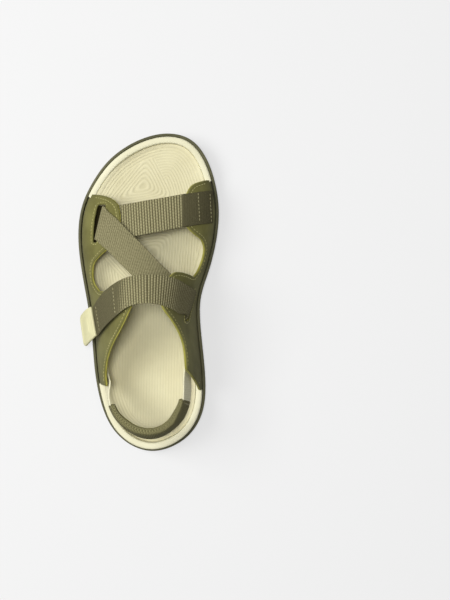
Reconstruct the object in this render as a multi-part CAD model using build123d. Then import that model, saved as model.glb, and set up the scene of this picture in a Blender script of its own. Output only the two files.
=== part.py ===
from build123d import *

import math
import os

import numpy as np

# Strappy sport sandal for the left foot, in millimetres.
#
# +X points to the medial (big toe) side, +Y to the toe and +Z up. The origin is under the middle of the
# sole, on the floor. The sole is a rubber cup, a foam midsole tray, a thin board and a foam footbed. Two
# side panels of microfibre, each with its own lining, stand in the cup and lean in over the foot. One
# webbing runs from the medial panel over the toes, up through a slot in the lateral panel, back across
# the instep, up through a slot in the medial panel and over to the lateral side, where hook and loop
# patches hold it. An elastic strap with a padded sleeve goes round the heel.

# ---- Sole: heights of each layer's top, and insets from the outsole's outline ----
LUG_DEPTH = 1.5
OUTSOLE_TOP = 4.0
MIDSOLE_FLOOR = 7.0
BOARD_TOP = 8.2
FOOTBED_TOP = 10.4
CUP_WALL = 2.3
FOOTBED_INSET = 7.8
GAP = 0.1  # between the midsole and the cup, and between the footbed and the midsole
SEAT = 0.05  # play between two layers that lie on each other
GROOVE_WIDTH, LUG_PITCH, LUG_ZIG = 2.2, 10.5, 4.0
GROOVE_X = 22.5  # the two lengthwise grooves' distance from the middle

# Height of the outsole's wall and of the midsole's rim, against y.
WALL_TOP = [(-140, 6.8), (-60, 7.6), (60, 8.6), (88, 10.5), (104, 13.6), (116, 15.2), (140, 15.6)]
RIM_TOP = [
    (-140, 18.5), (-112, 17.5), (-80, 14.0), (-50, 12.4), (70, 12.2), (92, 13.0), (112, 15.4), (140, 16.2),
]
ABOVE_ALL = 40

# ---- Upper: layers outward from the lining's inner face, which is the skin at offset 0 ----
LINING = 0.8
PANEL = 2.2  # outer face of the panel
SKIN_INSET = 4.8
PANEL_FOOT = 4.2
WEB_T = 1.6
WEB_CLEAR = 0.3
PATCH = 0.8
FLAP_LIFT = 1.9  # how much higher the closure flap lies than a strap that is right on the panel

# Outsole outline, clockwise from the toe tip.
OUTLINE = [
    (16, 125), (33, 120.5), (45.5, 106), (52.2, 88), (55.4, 66), (53.5, 42), (47, 16), (41.2, -4),
    (40.6, -20), (42.5, -42), (44.8, -70), (42.5, -94), (33, -111), (18, -121.5), (2, -124.8),
    (-14, -120), (-29, -106), (-38, -85), (-42.7, -59), (-45, -32), (-49, -4), (-53.5, 22),
    (-55.4, 48), (-52, 70), (-44, 87), (-31, 104), (-14, 116.5), (1, 122.8),
]

# Cross-sections of the skin: y, then the crown's x and z, then for each side how far the section
# stays upright at the sole and how far it stays flat at the crown, as shares of height and width.
STATIONS = [
    (100, 10, 30, 0.40, 0.60, 0.50, 0.60),
    (85, 9, 33, 0.40, 0.60, 0.50, 0.60),
    (63, 8, 38, 0.40, 0.60, 0.50, 0.60),
    (40, 6, 46, 0.36, 0.56, 0.46, 0.58),
    (15, 3, 57, 0.30, 0.50, 0.40, 0.55),
    (-8, 2, 71, 0.20, 0.42, 0.33, 0.52),
    (-40, 2, 88, 0.20, 0.35, 0.25, 0.50),
    (-85, 3, 95, 0.25, 0.40, 0.25, 0.50),
    (-100, 3, 95, 0.25, 0.40, 0.25, 0.50),
]
LATERAL, MEDIAL = -1, 1

# Panel edges in plan, from the front foot of the panel to its rear foot. Each list is one smooth run.
LATERAL_EDGE = [
    [(-62, 79), (-44, 77.5)],
    [(-44, 77.5), (-35.5, 75.8), (-28.5, 73.2), (-23.5, 69), (-21, 62), (-21, 52), (-24.5, 42),
     (-30.5, 34), (-37, 28.5), (-42, 23), (-43.6, 15), (-42.2, 7), (-37.5, 1)],
    [(-37.5, 1), (-28, 0), (-19, 3), (-12, 4), (-8.5, 0), (-9, -7), (-12.5, -15), (-18, -26),
     (-24.5, -37), (-28.8, -46), (-31.3, -55), (-32.2, -64), (-31.5, -71.5)],
    [(-31.5, -71.5), (-36.5, -82.5), (-62, -84)],
]
MEDIAL_EDGE = [
    [(62, 89.5), (47.4, 88.5)],
    [(47.4, 88.5), (42.5, 86.8), (35.5, 83.3), (31.5, 77), (29.5, 68), (29.5, 58), (32.5, 50),
     (38, 45), (43, 40.8), (45, 35), (44.5, 28.5), (42.3, 21.5), (39.6, 15.5), (37, 12)],
    [(37, 12), (29.2, 15), (22.8, 15.2), (18.5, 11.5), (14, 4.5), (12.5, -3), (15, -11), (21, -19.5),
     (26.8, -30), (29.9, -39.5), (31.2, -48.5), (31.8, -57.5)],
    [(31.8, -57.5), (41.5, -76), (62, -78)],
]

# Slots, as the two ends of the edge that the webbing folds over, and the slot's width in plan.
# FOLD_W is the webbing's width along that edge, which it crosses a little aslant.
LATERAL_SLOT = ((-33.4, 67.2), (-39.4, 40.0))
MEDIAL_SLOT = ((34.6, 2.2), (27.8, -20.4))
SLOT_WIDTH = 4.0
FOLD_W = 26.2

# The webbing's front and rear edges in plan, pair by pair, with the height of its inner face above
# the skin. It goes under the panel before each slot (UNDER) and over it after the slot (OVER).
UNDER = -(WEB_T + WEB_CLEAR)
OVER = PANEL + WEB_CLEAR
TOE_RUN = [
    ((50.2, 80.2), (50.4, 54.5), OVER),
    ((46.5, 79.4), (47.2, 53.8), OVER),
    ((40, 78), (41, 52.6), OVER),
    ((34, 76.8), (35, 51.4), OVER),
    ((27, 75.6), (28, 50), OVER),
    ((19, 74), (20.5, 48.6), 1.4),
    ((10, 72.4), (12, 46.8), 0.2),
    ((0, 70.9), (2, 44.9), -0.4),
    ((-11, 69), (-9, 43), -1.0),
    ((-21, 67.6), (-20, 41.4), -1.7),
    ((-28, 67.3), (-30, 40.6), UNDER),
]
DIAGONAL_RUN = [
    ((-29.2, 62.2), (-35, 36.8), OVER),
    ((-23, 57), (-29.2, 31.8), OVER),
    ((-15.5, 49.5), (-22, 24.8), 2.2),
    ((-8, 42), (-14.5, 17.6), 1.4),
    ((0.5, 33.6), (-6.3, 9.8), 0.4),
    ((8.5, 25.2), (1.2, 3.4), -0.9),
    ((16.5, 17), (9.4, -4), UNDER),
    ((24.5, 9.2), (17.4, -11.4), UNDER),
    ((30.8, 5), (24, -14.6), UNDER),
]
CLOSURE_RUN = [
    ((31.6, 5.8), (25.6, -15.6), OVER + 0.3),
    ((25.5, 9.6), (21.6, -13), OVER + 0.3),
    ((18.5, 12), (16.2, -10.4), OVER + 0.3),
    ((10, 13.2), (9.6, -8.6), OVER + 0.3),
    ((1, 13.4), (2, -8), OVER + 0.4),
    ((-8, 12.8), (-6, -8.8), OVER + 1.0),
    ((-15, 10.8), (-12.6, -11.2), OVER + 1.8),
    ((-19.6, 8.8), (-17.1, -14.2), OVER + FLAP_LIFT),
]
FLAP_RUN = [
    ((-20.1, 8.5), (-17.6, -14.7), OVER + FLAP_LIFT),
    ((-26, 5), (-23, -19), OVER + FLAP_LIFT),
    ((-32, 0.4), (-28.5, -23.8), OVER + FLAP_LIFT),
    ((-37.5, -5.4), (-33.4, -28.6), OVER + FLAP_LIFT),
    ((-41.8, -11), (-37.6, -33.2), OVER + FLAP_LIFT),
]

# Stitches: length, width and height of one, and how far in from an edge a row of them runs.
STITCH = (2.0, 0.7, 0.5)
SEAM_IN = 2.6

# Heel strap: bottom and top edge of the elastic's outer face. Its two ends lie inside the quarters,
# HEEL_CLEAR in from the skin, at the given y, bottom z and top z; the rest is free, lateral to medial.
HEEL_CLEAR = 3.0
HEEL_IN_LATERAL = [(-54, 25, 46), (-62, 25.5, 46.5), (-70, 27, 48)]
HEEL_FREE = [
    ((-29.2, -79, 29.5), (-24.2, -77.5, 50.5)),
    ((-28.2, -87, 32), (-24.2, -84.5, 53)),
    ((-24, -96.5, 34), (-20.8, -92.5, 55.5)),
    ((-17, -104.5, 36), (-14.6, -98.5, 58)),
    ((-7.5, -110.6, 37.5), (-6.5, -103, 59.5)),
    ((3, -113, 38), (3, -104.5, 60)),
    ((13.5, -110.6, 37.5), (12, -103, 59.5)),
    ((22.5, -104.5, 36), (20, -97.5, 58)),
    ((29.2, -96, 34), (25.4, -90.5, 55.5)),
    ((33.2, -87, 32), (28.4, -83.5, 53)),
    ((34.6, -78, 30), (29.4, -75.5, 51.5)),
]
HEEL_IN_MEDIAL = [(-68, 28.5, 50), (-59, 27.5, 49), (-50, 27, 48.5)]
ELASTIC_T = 1.4
HEEL_HINGE = (Vector(-29, -65, 36), Vector(32, -60, 38))
HEEL_DRUM = 10.6  # the elastic's ends are cut round about the hinge, to this radius
SLEEVE_ROWS = (4, 13)  # the first and last of the elastic's rows inside the sleeve
# Layers of the sleeve: from and to, inward of the elastic's outer face, and how far past its edges.
SLEEVE_OUTSIDE = (-1.8, 6.0, 1.6)
SLEEVE_INSIDE = (-0.4, 4.8, 0.2)
SLEEVE_LINING = (5.0, 5.9, 1.2)
HEEL_PAD = (2.4, 4.3, -0.2)
HEEL_MIDDLE = np.array([2, -60, 45])  # a point inside the heel, to tell inward from outward

# Patches inside the quarters that hold the elastic, from the side: corners as y and z.
ANCHOR_DEPTH = (-1.1, -0.1)
LATERAL_ANCHOR = [(-68, 26), (-44, 24), (-44, 46), (-66, 47)]
MEDIAL_ANCHOR = [(-48.5, 28), (-36, 26), (-36, 48), (-48.5, 49)]

# Pull tab: front and rear edge of its inner face, from the webbing's end outward and down.
TAB_ROWS = [
    ((-41.6, -10.6, 26.4), (-37.4, -32.8, 33.4)),
    ((-46.8, -10.8, 22.8), (-43.4, -35.4, 28.4)),
    ((-50.2, -13.2, 18.8), (-47.4, -39.0, 22.6)),
    ((-52.2, -17.4, 15.2), (-50.2, -40.6, 17.0)),
    ((-52.8, -22.0, 13.4), (-51.6, -37.4, 13.8)),
]
TAB_T = 2.4

# Rows of stitches in plan.
TOE_BOX = [(49.2, 77.4), (40.2, 75.8), (41.2, 55), (49.6, 56.8), (49.2, 77.4)]
FLAP_SEAMS = [[(-23.6, 4.6), (-20.8, -15.4)], [(-39.6, -10), (-35.6, -29.6)]]
LOOP_SEAM = [(-22, 5), (-19.8, -14), (-36, -29), (-39.6, -10), (-22, 5)]


# ---- Curves and the skin ----
def closed_curve(points, count=1400):
    """Points along the smooth closed curve through the given points."""
    p = np.array(points, float)
    q = np.vstack([p, p[:1]])
    h = np.linalg.norm(np.diff(q, axis=0), axis=1)
    n = len(p)
    a, r = np.zeros((n, n)), np.zeros((n, 2))
    for i in range(n):
        before, after = h[i - 1], h[i]
        a[i, i - 1] += before
        a[i, i] += 2 * (before + after)
        a[i, (i + 1) % n] += after
        r[i] = 6 * ((q[i + 1] - q[i]) / after - (p[i] - p[i - 1]) / before)
    m = np.linalg.solve(a, r)
    m = np.vstack([m, m[:1]])
    knots = np.concatenate([[0], np.cumsum(h)])
    s = np.linspace(0, knots[-1], count, endpoint=False)
    k = np.clip(np.searchsorted(knots, s, side="right") - 1, 0, n - 1)
    u = (s - knots[k])[:, None]
    w = h[k][:, None] - u
    span = h[k][:, None]
    bend = m[k] * w**3 / (6 * span) + m[k + 1] * u**3 / (6 * span)
    return bend + (q[k] / span - m[k] * span / 6) * w + (q[k + 1] / span - m[k + 1] * span / 6) * u


def smooth(rows):
    """A function of the first column that runs smoothly through the other columns."""
    k = np.array(sorted(rows), float)
    x, v = k[:, 0], k[:, 1:]
    slope = np.gradient(v, x, axis=0)

    def value(q):
        q = min(max(q, x[0]), x[-1])
        i = min(max(int(np.searchsorted(x, q)) - 1, 0), len(x) - 2)
        h = x[i + 1] - x[i]
        t = (q - x[i]) / h
        start = (2 * t**3 - 3 * t**2 + 1) * v[i] + (t**3 - 2 * t**2 + t) * h * slope[i]
        return start + (3 * t**2 - 2 * t**3) * v[i + 1] + (t**3 - t**2) * h * slope[i + 1]

    return value


STATION = smooth(STATIONS)
RIM = closed_curve(OUTLINE)


def unit(v):
    """The vector at length 1."""
    return v / np.linalg.norm(v)


def inset_line(inset):
    """The outsole's outline moved in by inset, as closely set points."""
    heading = np.roll(RIM, -1, 0) - np.roll(RIM, 1, 0)
    heading /= np.linalg.norm(heading, axis=1)[:, None]
    return RIM + np.c_[heading[:, 1], -heading[:, 0]] * inset


def foot_line(inset):
    """For each side, the x of the outline moved in by inset, as a table against y."""
    line = inset_line(inset)
    top, low = int(np.argmax(line[:, 1])), int(np.argmin(line[:, 1]))
    n = len(line)
    down = line[np.arange(top, low if low > top else low + n) % n][::-1]
    up = line[np.arange(low, top if top > low else top + n) % n]
    return {MEDIAL: down, LATERAL: up}


SKIN_FOOT = foot_line(SKIN_INSET)


def section(y, t, side):
    """A point of the skin in the section at y: t is 0 at the sole and 1 at the crown."""
    crown_x, crown_z, up_l, flat_l, up_m, flat_m = STATION(y)
    up, flat = (up_m, flat_m) if side == MEDIAL else (up_l, flat_l)
    foot_x = np.interp(y, SKIN_FOOT[side][:, 1], SKIN_FOOT[side][:, 0])
    across = (1 - t) ** 3 + 3 * (1 - t) ** 2 * t + 3 * (1 - t) * t * t * flat
    rise = 3 * (1 - t) ** 2 * t * up + 3 * (1 - t) * t * t + t**3
    x = crown_x + (foot_x - crown_x) * across
    return np.array([x, y, PANEL_FOOT + (crown_z - PANEL_FOOT) * rise])


def skin(y, t, side, lift=0.0, in_section=False):
    """A point lift above the skin, and the skin's outward normal there. In_section keeps it at y."""
    step = 1e-3
    p = section(y, t, side)
    along = section(y, min(t + step, 1), side) - section(y, max(t - step, 0), side)
    ahead = section(y + 0.5, t, side) - section(y - 0.5, t, side)
    n = unit(np.cross(along, ahead))
    middle = np.array([STATION(y)[0], y, PANEL_FOOT])
    if np.dot(n, p - middle) < 0:
        n = -n
    if in_section:
        flat = np.array([n[0], 0, n[2]])
        return p + flat * lift / np.dot(flat, flat), n
    return p + n * lift, n


def over_skin(x, y, lift):
    """The point lift above the skin whose plan position is x, y, and the normal there."""
    side = MEDIAL if x > STATION(y)[0] else LATERAL
    base_y = y
    for _ in range(3):  # the normal leans along y too, so the section is corrected twice
        low, high = 0.0, 1.0
        for _ in range(30):
            t = (low + high) / 2
            p, n = skin(base_y, t, side, lift)
            if (p[0] - x) * side > 0:
                low = t
            else:
                high = t
        base_y += y - p[1]
    return p, n


# ---- Solids ----
def plan_face(inset):
    """The outsole's outline moved in by inset, as a face on the floor made of two smooth edges."""
    line = inset_line(inset)
    half = len(line) // 2
    edges = []
    for start in (0, half):
        chosen = np.arange(start, start + half + 1, 25) % len(line)
        edges.append(Spline(*[tuple(line[k]) for k in chosen]))
    return make_face(edges)


def prism(face, low, high):
    """An upright solid over a face of the floor."""
    return Pos(0, 0, low) * extrude(face, high - low, dir=(0, 0, 1))


def side_profile(points, reach=80):
    """A solid across the whole width whose outline in the Y-Z plane is given."""
    face = make_face(Polyline(*[(0, y, z) for y, z in points], close=True))
    return extrude(face, reach, dir=(1, 0, 0), both=True)


def curve(points):
    """An edge through the points."""
    points = [Vector(*p) for p in points]
    return (Spline(*points) if len(points) > 2 else Line(*points)).edge()


def flat(section):
    """The section moved onto its own mean plane, as a strap's two end faces must be."""
    inner, outer = np.array(section[0]), np.array(section[1])
    middle = (inner.mean(0) + outer.mean(0)) / 2
    m = unit(np.cross(inner[-1] - inner[0], outer.mean(0) - inner.mean(0)))
    return [p - m * np.dot(p - middle, m) for p in inner], [p - m * np.dot(p - middle, m) for p in outer]


def strip(sections):
    """A solid through a row of sections, each given by its inner and its outer row of points."""
    wires = []
    for inner, outer in [flat(sections[0]), *sections[1:-1], flat(sections[-1])]:
        ends = curve([inner[-1], outer[-1]]), curve([outer[0], inner[0]])
        wires.append(Wire([curve(inner), ends[0], curve(outer[::-1]), ends[1]]))
    return Solid.make_loft(wires)


def ribbon(run, thickness, narrow=0.0):
    """The sections of a strap that follows the skin along a run of edge pairs."""
    sections = []
    for front, rear, height in run:
        front, rear = np.array(front), np.array(rear)
        margin = narrow / np.linalg.norm(rear - front)
        shares = np.linspace(margin, 1 - margin, 5)
        places = [over_skin(*(front + (rear - front) * s), height) for s in shares]
        sections.append(([p for p, _ in places], [p + n * thickness for p, n in places]))
    return sections


def fold(slot, side, steps=7):
    """Sections of the webbing's turn through a slot, from under the panel to over it."""
    front, rear = np.array(slot[0]), np.array(slot[1])
    across = over_skin(*rear, 0)[0] - over_skin(*front, 0)[0]
    width = np.linalg.norm(across)
    across /= width
    margin = (1 - FOLD_W / width) / 2
    places = [over_skin(*(front + (rear - front) * s), 0) for s in np.linspace(margin, 1 - margin, 5)]
    mid = (OVER + UNDER + WEB_T) / 2
    inside = (OVER - UNDER - WEB_T) / 2
    sections = []
    for k in range(steps):
        angle = math.pi * k / (steps - 1)
        inner, outer = [], []
        for p, n in places:
            out = np.cross(across, n)
            out *= side * np.sign(out[0]) / np.linalg.norm(out)
            turn = out * math.sin(angle) - n * math.cos(angle)
            centre = p + n * mid + out * WEB_CLEAR
            inner.append(centre + turn * inside)
            outer.append(centre + turn * (inside + WEB_T))
        sections.append((inner, outer))
    return sections


def flipped(sections):
    """The same sections with each one's inner and outer face exchanged."""
    return [(outer, inner) for inner, outer in sections]


def shell_band(side, inner, outer, y_low, y_high, top=0.93, rows=17, columns=9):
    """A layer of the upper between two heights above the skin, untrimmed."""
    wires = []
    for y in np.linspace(y_low, y_high, rows):
        near = [Vector(*skin(y, t, side, inner, True)[0]) for t in np.linspace(0, top, columns)]
        far = [Vector(*skin(y, t, side, outer, True)[0]) for t in np.linspace(0, top, columns)]
        wires.append(Wire([
            Spline(*near).edge(), Line(near[-1], far[-1]).edge(),
            Spline(*far[::-1]).edge(), Line(far[0], near[0]).edge(),
        ]))
    return Solid.make_loft(wires)


def panel_plan(edge):
    """The face in plan that a panel's edge encloses with the sole's side."""
    curves = [Spline(*run) if len(run) > 3 else Polyline(*run) for run in edge]
    curves.append(Line(edge[-1][-1], edge[0][0]))
    return make_face(Curve() + curves)


def slot_plan(slot, side):
    """A slot's face in plan: it lies outward of the edge that the webbing folds over."""
    (fx, fy), (rx, ry) = slot
    length = math.hypot(fx - rx, fy - ry) + 2.4
    angle = math.degrees(math.atan2(fy - ry, fx - rx)) - 90
    centre = Vector((fx + rx) / 2, (fy + ry) / 2)
    shift = Vector(side * SLOT_WIDTH / 2, 0).rotate(Axis.Z, angle)
    face = RectangleRounded(SLOT_WIDTH, length, SLOT_WIDTH / 2 - 0.1)
    return Pos(*(centre + shift)) * (Rot(0, 0, angle) * face)


def stitches(points, normals):
    """Thread stitches as small bars, each between two following points, sunk half into the cloth."""
    length, width, height = STITCH
    bars = []
    for (a, n), b in zip(zip(points[:-1], normals), points[1:]):
        d = b - a
        reach = np.linalg.norm(d)
        if reach < 1e-6:
            continue
        plane = Plane(origin=Vector(*((a + b) / 2)), x_dir=Vector(*d), z_dir=Vector(*n))
        bars.append(plane * Box(min(length, reach * 0.72), width, height))
    return Compound(children=bars)


def stitch_line(corners, lift, pitch=3.2, lowest=14):
    """Stitches at an even pitch along straight plan lines over the skin, none near the sole."""
    points, normals = [], []
    for (ax, ay), (bx, by) in zip(corners[:-1], corners[1:]):
        count = max(2, round(math.hypot(bx - ax, by - ay) / pitch))
        for k in range(count):
            p, n = over_skin(ax + (bx - ax) * k / count, ay + (by - ay) * k / count, lift)
            points.append(p)
            normals.append(n)
    p, n = over_skin(*corners[-1], lift)
    bars = stitches(points + [p], normals + [n])
    return Compound(children=[bar for bar in bars.solids() if bar.bounding_box().min.Z > lowest])


# ---- Sole ----
def tread_grooves():
    """Zigzag grooves across the sole and two lengthwise ones, as solids to cut away."""
    cuts = []
    for row in range(-12, 13):
        xs = np.arange(-63, 64, 9.0)
        middle = row * LUG_PITCH
        line = [(x, middle + (LUG_ZIG / 2 if k % 2 else -LUG_ZIG / 2)) for k, x in enumerate(xs)]
        edge = [(x, y + GROOVE_WIDTH / 2) for x, y in line]
        edge += [(x, y - GROOVE_WIDTH / 2) for x, y in reversed(line)]
        cuts.append(prism(make_face(Polyline(*edge, close=True)), -1, LUG_DEPTH))
    for x in (-GROOVE_X, GROOVE_X):
        cuts.append(Pos(x, 0, LUG_DEPTH / 2 - 0.5) * Box(GROOVE_WIDTH, 262, LUG_DEPTH + 1))
    return cuts


def make_outsole():
    """Rubber cup: lugs, floor and a low wall that rises into a toe bumper."""
    body = prism(plan_face(0), 0, 16)
    well = prism(plan_face(CUP_WALL), OUTSOLE_TOP, 20)
    over_wall = side_profile(WALL_TOP + [(140, ABOVE_ALL), (-140, ABOVE_ALL)])
    return body - well - over_wall - tread_grooves()


def make_midsole():
    """Foam tray whose rim stands up round the footbed, higher at the toe and round the heel."""
    body = prism(plan_face(CUP_WALL + GAP), OUTSOLE_TOP + SEAT, 20)
    lateral = shell_band(LATERAL, -0.15, 4, -83.5, 80, 0.5)
    medial = shell_band(MEDIAL, -0.15, 4, -78.5, 89.5, 0.5)
    pocket = prism(plan_face(FOOTBED_INSET), MIDSOLE_FLOOR, 30)
    over_rim = side_profile(RIM_TOP + [(140, ABOVE_ALL), (-140, ABOVE_ALL)])
    return body - lateral - medial - pocket - over_rim


def make_board():
    """Thin fibre board between the midsole and the footbed."""
    return prism(plan_face(FOOTBED_INSET + 0.5), MIDSOLE_FLOOR + 0.02, BOARD_TOP - 0.02)


def make_footbed():
    """Dished foam footbed: its edge curls up, most of all round the heel."""
    half = 60
    wires = []
    for y in np.linspace(-130, 130, 14):
        heel = 1 / (1 + math.exp((y + 62) / 14))
        curl = 1.6 + 3.4 * heel
        middle = STATION(max(y, -85))[0] * 0.5
        width = 46 - 9 * heel
        top = [
            Vector(x, y, FOOTBED_TOP + curl * min(abs(x - middle) / width, 1.25) ** 4)
            for x in np.linspace(half, -half, 13)
        ]
        left, right = Vector(-half, y, BOARD_TOP), Vector(half, y, BOARD_TOP)
        wires.append(Wire([
            Line(left, right).edge(), Line(right, top[0]).edge(),
            Spline(*top).edge(), Line(top[-1], left).edge(),
        ]))
    return Solid.make_loft(wires) & prism(plan_face(FOOTBED_INSET + GAP), 0, 30)


# ---- Upper ----
def make_side(side, edge, slot, y_low, y_high):
    """One side's panel and lining, trimmed to the same edge and slot."""
    plan = prism(panel_plan(edge), -5, 100)
    cut = prism(slot_plan(slot, side), -5, 100)
    panel = shell_band(side, LINING + SEAT, PANEL, y_low, y_high) & plan
    lining = shell_band(side, 0, LINING, y_low, y_high) & plan
    return panel - cut, lining - cut


def edge_seam(edge, side, lift, pitch=3.6):
    """Stitches that follow a panel's free edge a little way in from it."""
    seam = offset(panel_plan(edge), amount=-SEAM_IN, kind=Kind.ARC).wires()[0]
    count = int(seam.length / pitch)
    points, normals = [], []
    for k in range(count):
        v = seam.position_at(k / count)
        foot = np.interp(v.Y, SKIN_FOOT[side][:, 1], SKIN_FOOT[side][:, 0])
        if (foot - v.X) * side < 4:  # outside the upper, or too near the sole to be sewn
            points.append(None)
            normals.append(None)
            continue
        p, n = over_skin(v.X, v.Y, lift)
        points.append(p)
        normals.append(n)
    bars = []
    for a, b, n in zip(points, points[1:] + points[:1], normals):
        if a is None or b is None or np.linalg.norm(b - a) > 2.2 * pitch:
            continue
        bars.extend(stitches([a, b], [n]).solids())
    return Compound(children=bars)


def slot_seam(slot, side, gap=1.8):
    """Stitches along the outer edge of a slot; the webbing covers its inner edge."""
    (fx, fy), (rx, ry) = slot
    along = np.array([rx - fx, ry - fy]) / math.hypot(rx - fx, ry - fy)
    out = np.array([-along[1], along[0]])
    out = -out if out[0] * side < 0 else out
    start = np.array([fx, fy]) - along * (1.2 + gap)
    end = np.array([rx, ry]) + along * (1.2 + gap)
    reach = out * (SLOT_WIDTH + gap)
    return stitch_line([tuple(start + reach), tuple(end + reach)], PANEL)


def make_toe_instep_webbing():
    """The sewn-down run of webbing: toe strap, lateral fold, diagonal and half of the medial fold."""
    sections = ribbon(TOE_RUN, WEB_T)
    sections += flipped(fold(LATERAL_SLOT, LATERAL))
    sections += flipped(ribbon(DIAGONAL_RUN, WEB_T))
    sections += fold(MEDIAL_SLOT, MEDIAL)[:4]
    return strip(sections)


def make_closure_webbing():
    """The webbing from the medial slot over the instep to where the hook and loop begins."""
    start = fold(MEDIAL_SLOT, MEDIAL)[-1]
    front, rear, height = CLOSURE_RUN[0]
    lead = []
    for share in (0.3, 0.65):
        a = start[0][0][:2] * (1 - share) + np.array(front) * share
        b = start[0][-1][:2] * (1 - share) + np.array(rear) * share
        lead.append((a, b, height))
    return strip([start] + ribbon(lead + CLOSURE_RUN, WEB_T))


def patch(run, height, thickness, narrow=1.6):
    """A thin patch over the skin, along a run of the webbing and a little narrower."""
    return strip(ribbon([(front, rear, height) for front, rear, _ in run], thickness, narrow))


def inner_row(y, low, high, side, clear):
    """Bottom and top point on a section's skin, moved in by clear."""
    row = []
    for z in (low, high):
        foot, crown = 0.0, 1.0
        for _ in range(30):
            t = (foot + crown) / 2
            if section(y, t, side)[2] < z:
                foot = t
            else:
                crown = t
        row.append(skin(y, t, side, -clear, True)[0])
    return row


def heel_rows():
    """Bottom and top edge of the elastic's outer face, from the lateral end to the medial end."""
    rows = [inner_row(*row, LATERAL, HEEL_CLEAR) for row in HEEL_IN_LATERAL]
    rows += [[np.array(low, float), np.array(high, float)] for low, high in HEEL_FREE]
    rows += [inner_row(*row, MEDIAL, HEEL_CLEAR) for row in HEEL_IN_MEDIAL]
    return rows


def heel_band(start, end, outer, inner, grow=0.0):
    """A band along rows start to end, between two depths inward of the elastic's outer face."""
    rows = heel_rows()
    sections = []
    for k in range(start, end + 1):
        low, high = rows[k]
        before, after = rows[max(k - 1, 0)], rows[min(k + 1, len(rows) - 1)]
        ahead = sum(after) - sum(before)
        rise = unit(high - low)
        inward = unit(np.cross(rise, ahead))
        if np.dot(inward, HEEL_MIDDLE - low) < 0:
            inward = -inward
        a, b = low - rise * grow, high + rise * grow
        sections.append((
            [a + inward * outer, b + inward * outer], [a + inward * inner, b + inward * inner],
        ))
    return strip(sections)


def make_heel():
    """Elastic, padded sleeve, its foam and its lining."""
    axis_from, axis_to = HEEL_HINGE
    middle, direction = (axis_from + axis_to) / 2, (axis_to - axis_from).normalized()
    drum = Plane(origin=middle, z_dir=direction) * Cylinder(HEEL_DRUM, 120)
    level = Plane(origin=middle, x_dir=direction, z_dir=Vector(0, 0, 1))
    ahead = level * Pos(0, 40, 0) * Box(120, 80, 120)
    elastic = heel_band(0, len(heel_rows()) - 1, 0, ELASTIC_T)
    first, last = SLEEVE_ROWS
    lining = heel_band(first, last, *SLEEVE_LINING)
    hollow = heel_band(first - 1, last + 1, *SLEEVE_INSIDE)
    return {
        "heel_elastic": elastic - (ahead - drum),
        "heel_sleeve": heel_band(first, last, *SLEEVE_OUTSIDE) - hollow - lining,
        "heel_pad": heel_band(first, last, *HEEL_PAD),
        "heel_sleeve_lining": lining,
    }


def make_anchor(side, profile):
    """A patch sewn inside a quarter, which holds the elastic's end."""
    return shell_band(side, *ANCHOR_DEPTH, -74, -36, 0.8) & side_profile(profile)


def make_pull_tab():
    """The soft moulded tab at the webbing's end, rounded toward its free edge."""
    sections = []
    rows = [[np.array(p, float) for p in row] for row in TAB_ROWS]
    for k, (front, rear) in enumerate(rows):
        before, after = rows[max(k - 1, 0)], rows[min(k + 1, len(rows) - 1)]
        n = unit(np.cross(rear - front, sum(after) - sum(before)))
        n *= -1 if n[2] < 0 else 1
        sections.append(([front, rear], [front + n * TAB_T, rear + n * TAB_T]))
    return strip(sections)


def sleeve_seam():
    """Two upright rows of stitches on the sleeve's outer face, one at each end."""
    rows = heel_rows()
    groups = []
    for k, ahead in ((SLEEVE_ROWS[0], 1), (SLEEVE_ROWS[1], -1)):
        low = rows[k][0] * 0.7 + rows[k + ahead][0] * 0.3
        high = rows[k][1] * 0.7 + rows[k + ahead][1] * 0.3
        out = unit(np.cross(high - low, (rows[k + 1][0] - rows[k - 1][0])))
        if np.dot(out, low - HEEL_MIDDLE) < 0:
            out = -out
        steps = np.linspace(0.04, 0.96, 8)[:, None]
        places = low + (high - low) * steps - out * SLEEVE_OUTSIDE[0]
        groups.append(stitches(list(places), [out] * len(places)))
    return join(*groups)


def join(*groups):
    """One compound of several groups of stitches."""
    return Compound(children=[bar for group in groups for bar in group.solids()])


def build_nodes():
    """Every node's shape by name."""
    nodes = {
        "outsole": make_outsole(),
        "midsole": make_midsole(),
        "insole_board": make_board(),
        "footbed": make_footbed(),
        "toe_instep_webbing": make_toe_instep_webbing(),
        "closure_webbing": make_closure_webbing(),
        "closure_flap": strip(ribbon(FLAP_RUN, WEB_T)),
        "hook_patch": patch(FLAP_RUN, OVER + FLAP_LIFT - PATCH, PATCH - 0.02),
        "loop_patch": patch(FLAP_RUN, PANEL + SEAT, PATCH),
        "pull_tab": make_pull_tab(),
    }
    for side, edge, slot, reach, name in (
        (LATERAL, LATERAL_EDGE, LATERAL_SLOT, (-90, 86), "lateral"),
        (MEDIAL, MEDIAL_EDGE, MEDIAL_SLOT, (-84, 95), "medial"),
    ):
        panel, lining = make_side(side, edge, slot, *reach)
        nodes[f"{name}_panel"], nodes[f"{name}_lining"] = panel, lining
        nodes[f"{name}_edge_stitching"] = edge_seam(edge, side, PANEL)
        nodes[f"{name}_slot_stitching"] = slot_seam(slot, side)
    nodes["heel_anchor_lateral"] = make_anchor(LATERAL, LATERAL_ANCHOR)
    nodes["heel_anchor_medial"] = make_anchor(MEDIAL, MEDIAL_ANCHOR)
    nodes.update(make_heel())
    top = OVER + WEB_T
    nodes["toe_strap_stitching"] = stitch_line(TOE_BOX, top)
    nodes["flap_stitching"] = join(*[stitch_line(seam, top + FLAP_LIFT) for seam in FLAP_SEAMS])
    nodes["loop_patch_stitching"] = stitch_line(LOOP_SEAM, PANEL + PATCH)
    nodes["heel_sleeve_stitching"] = sleeve_seam()
    return nodes


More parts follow.
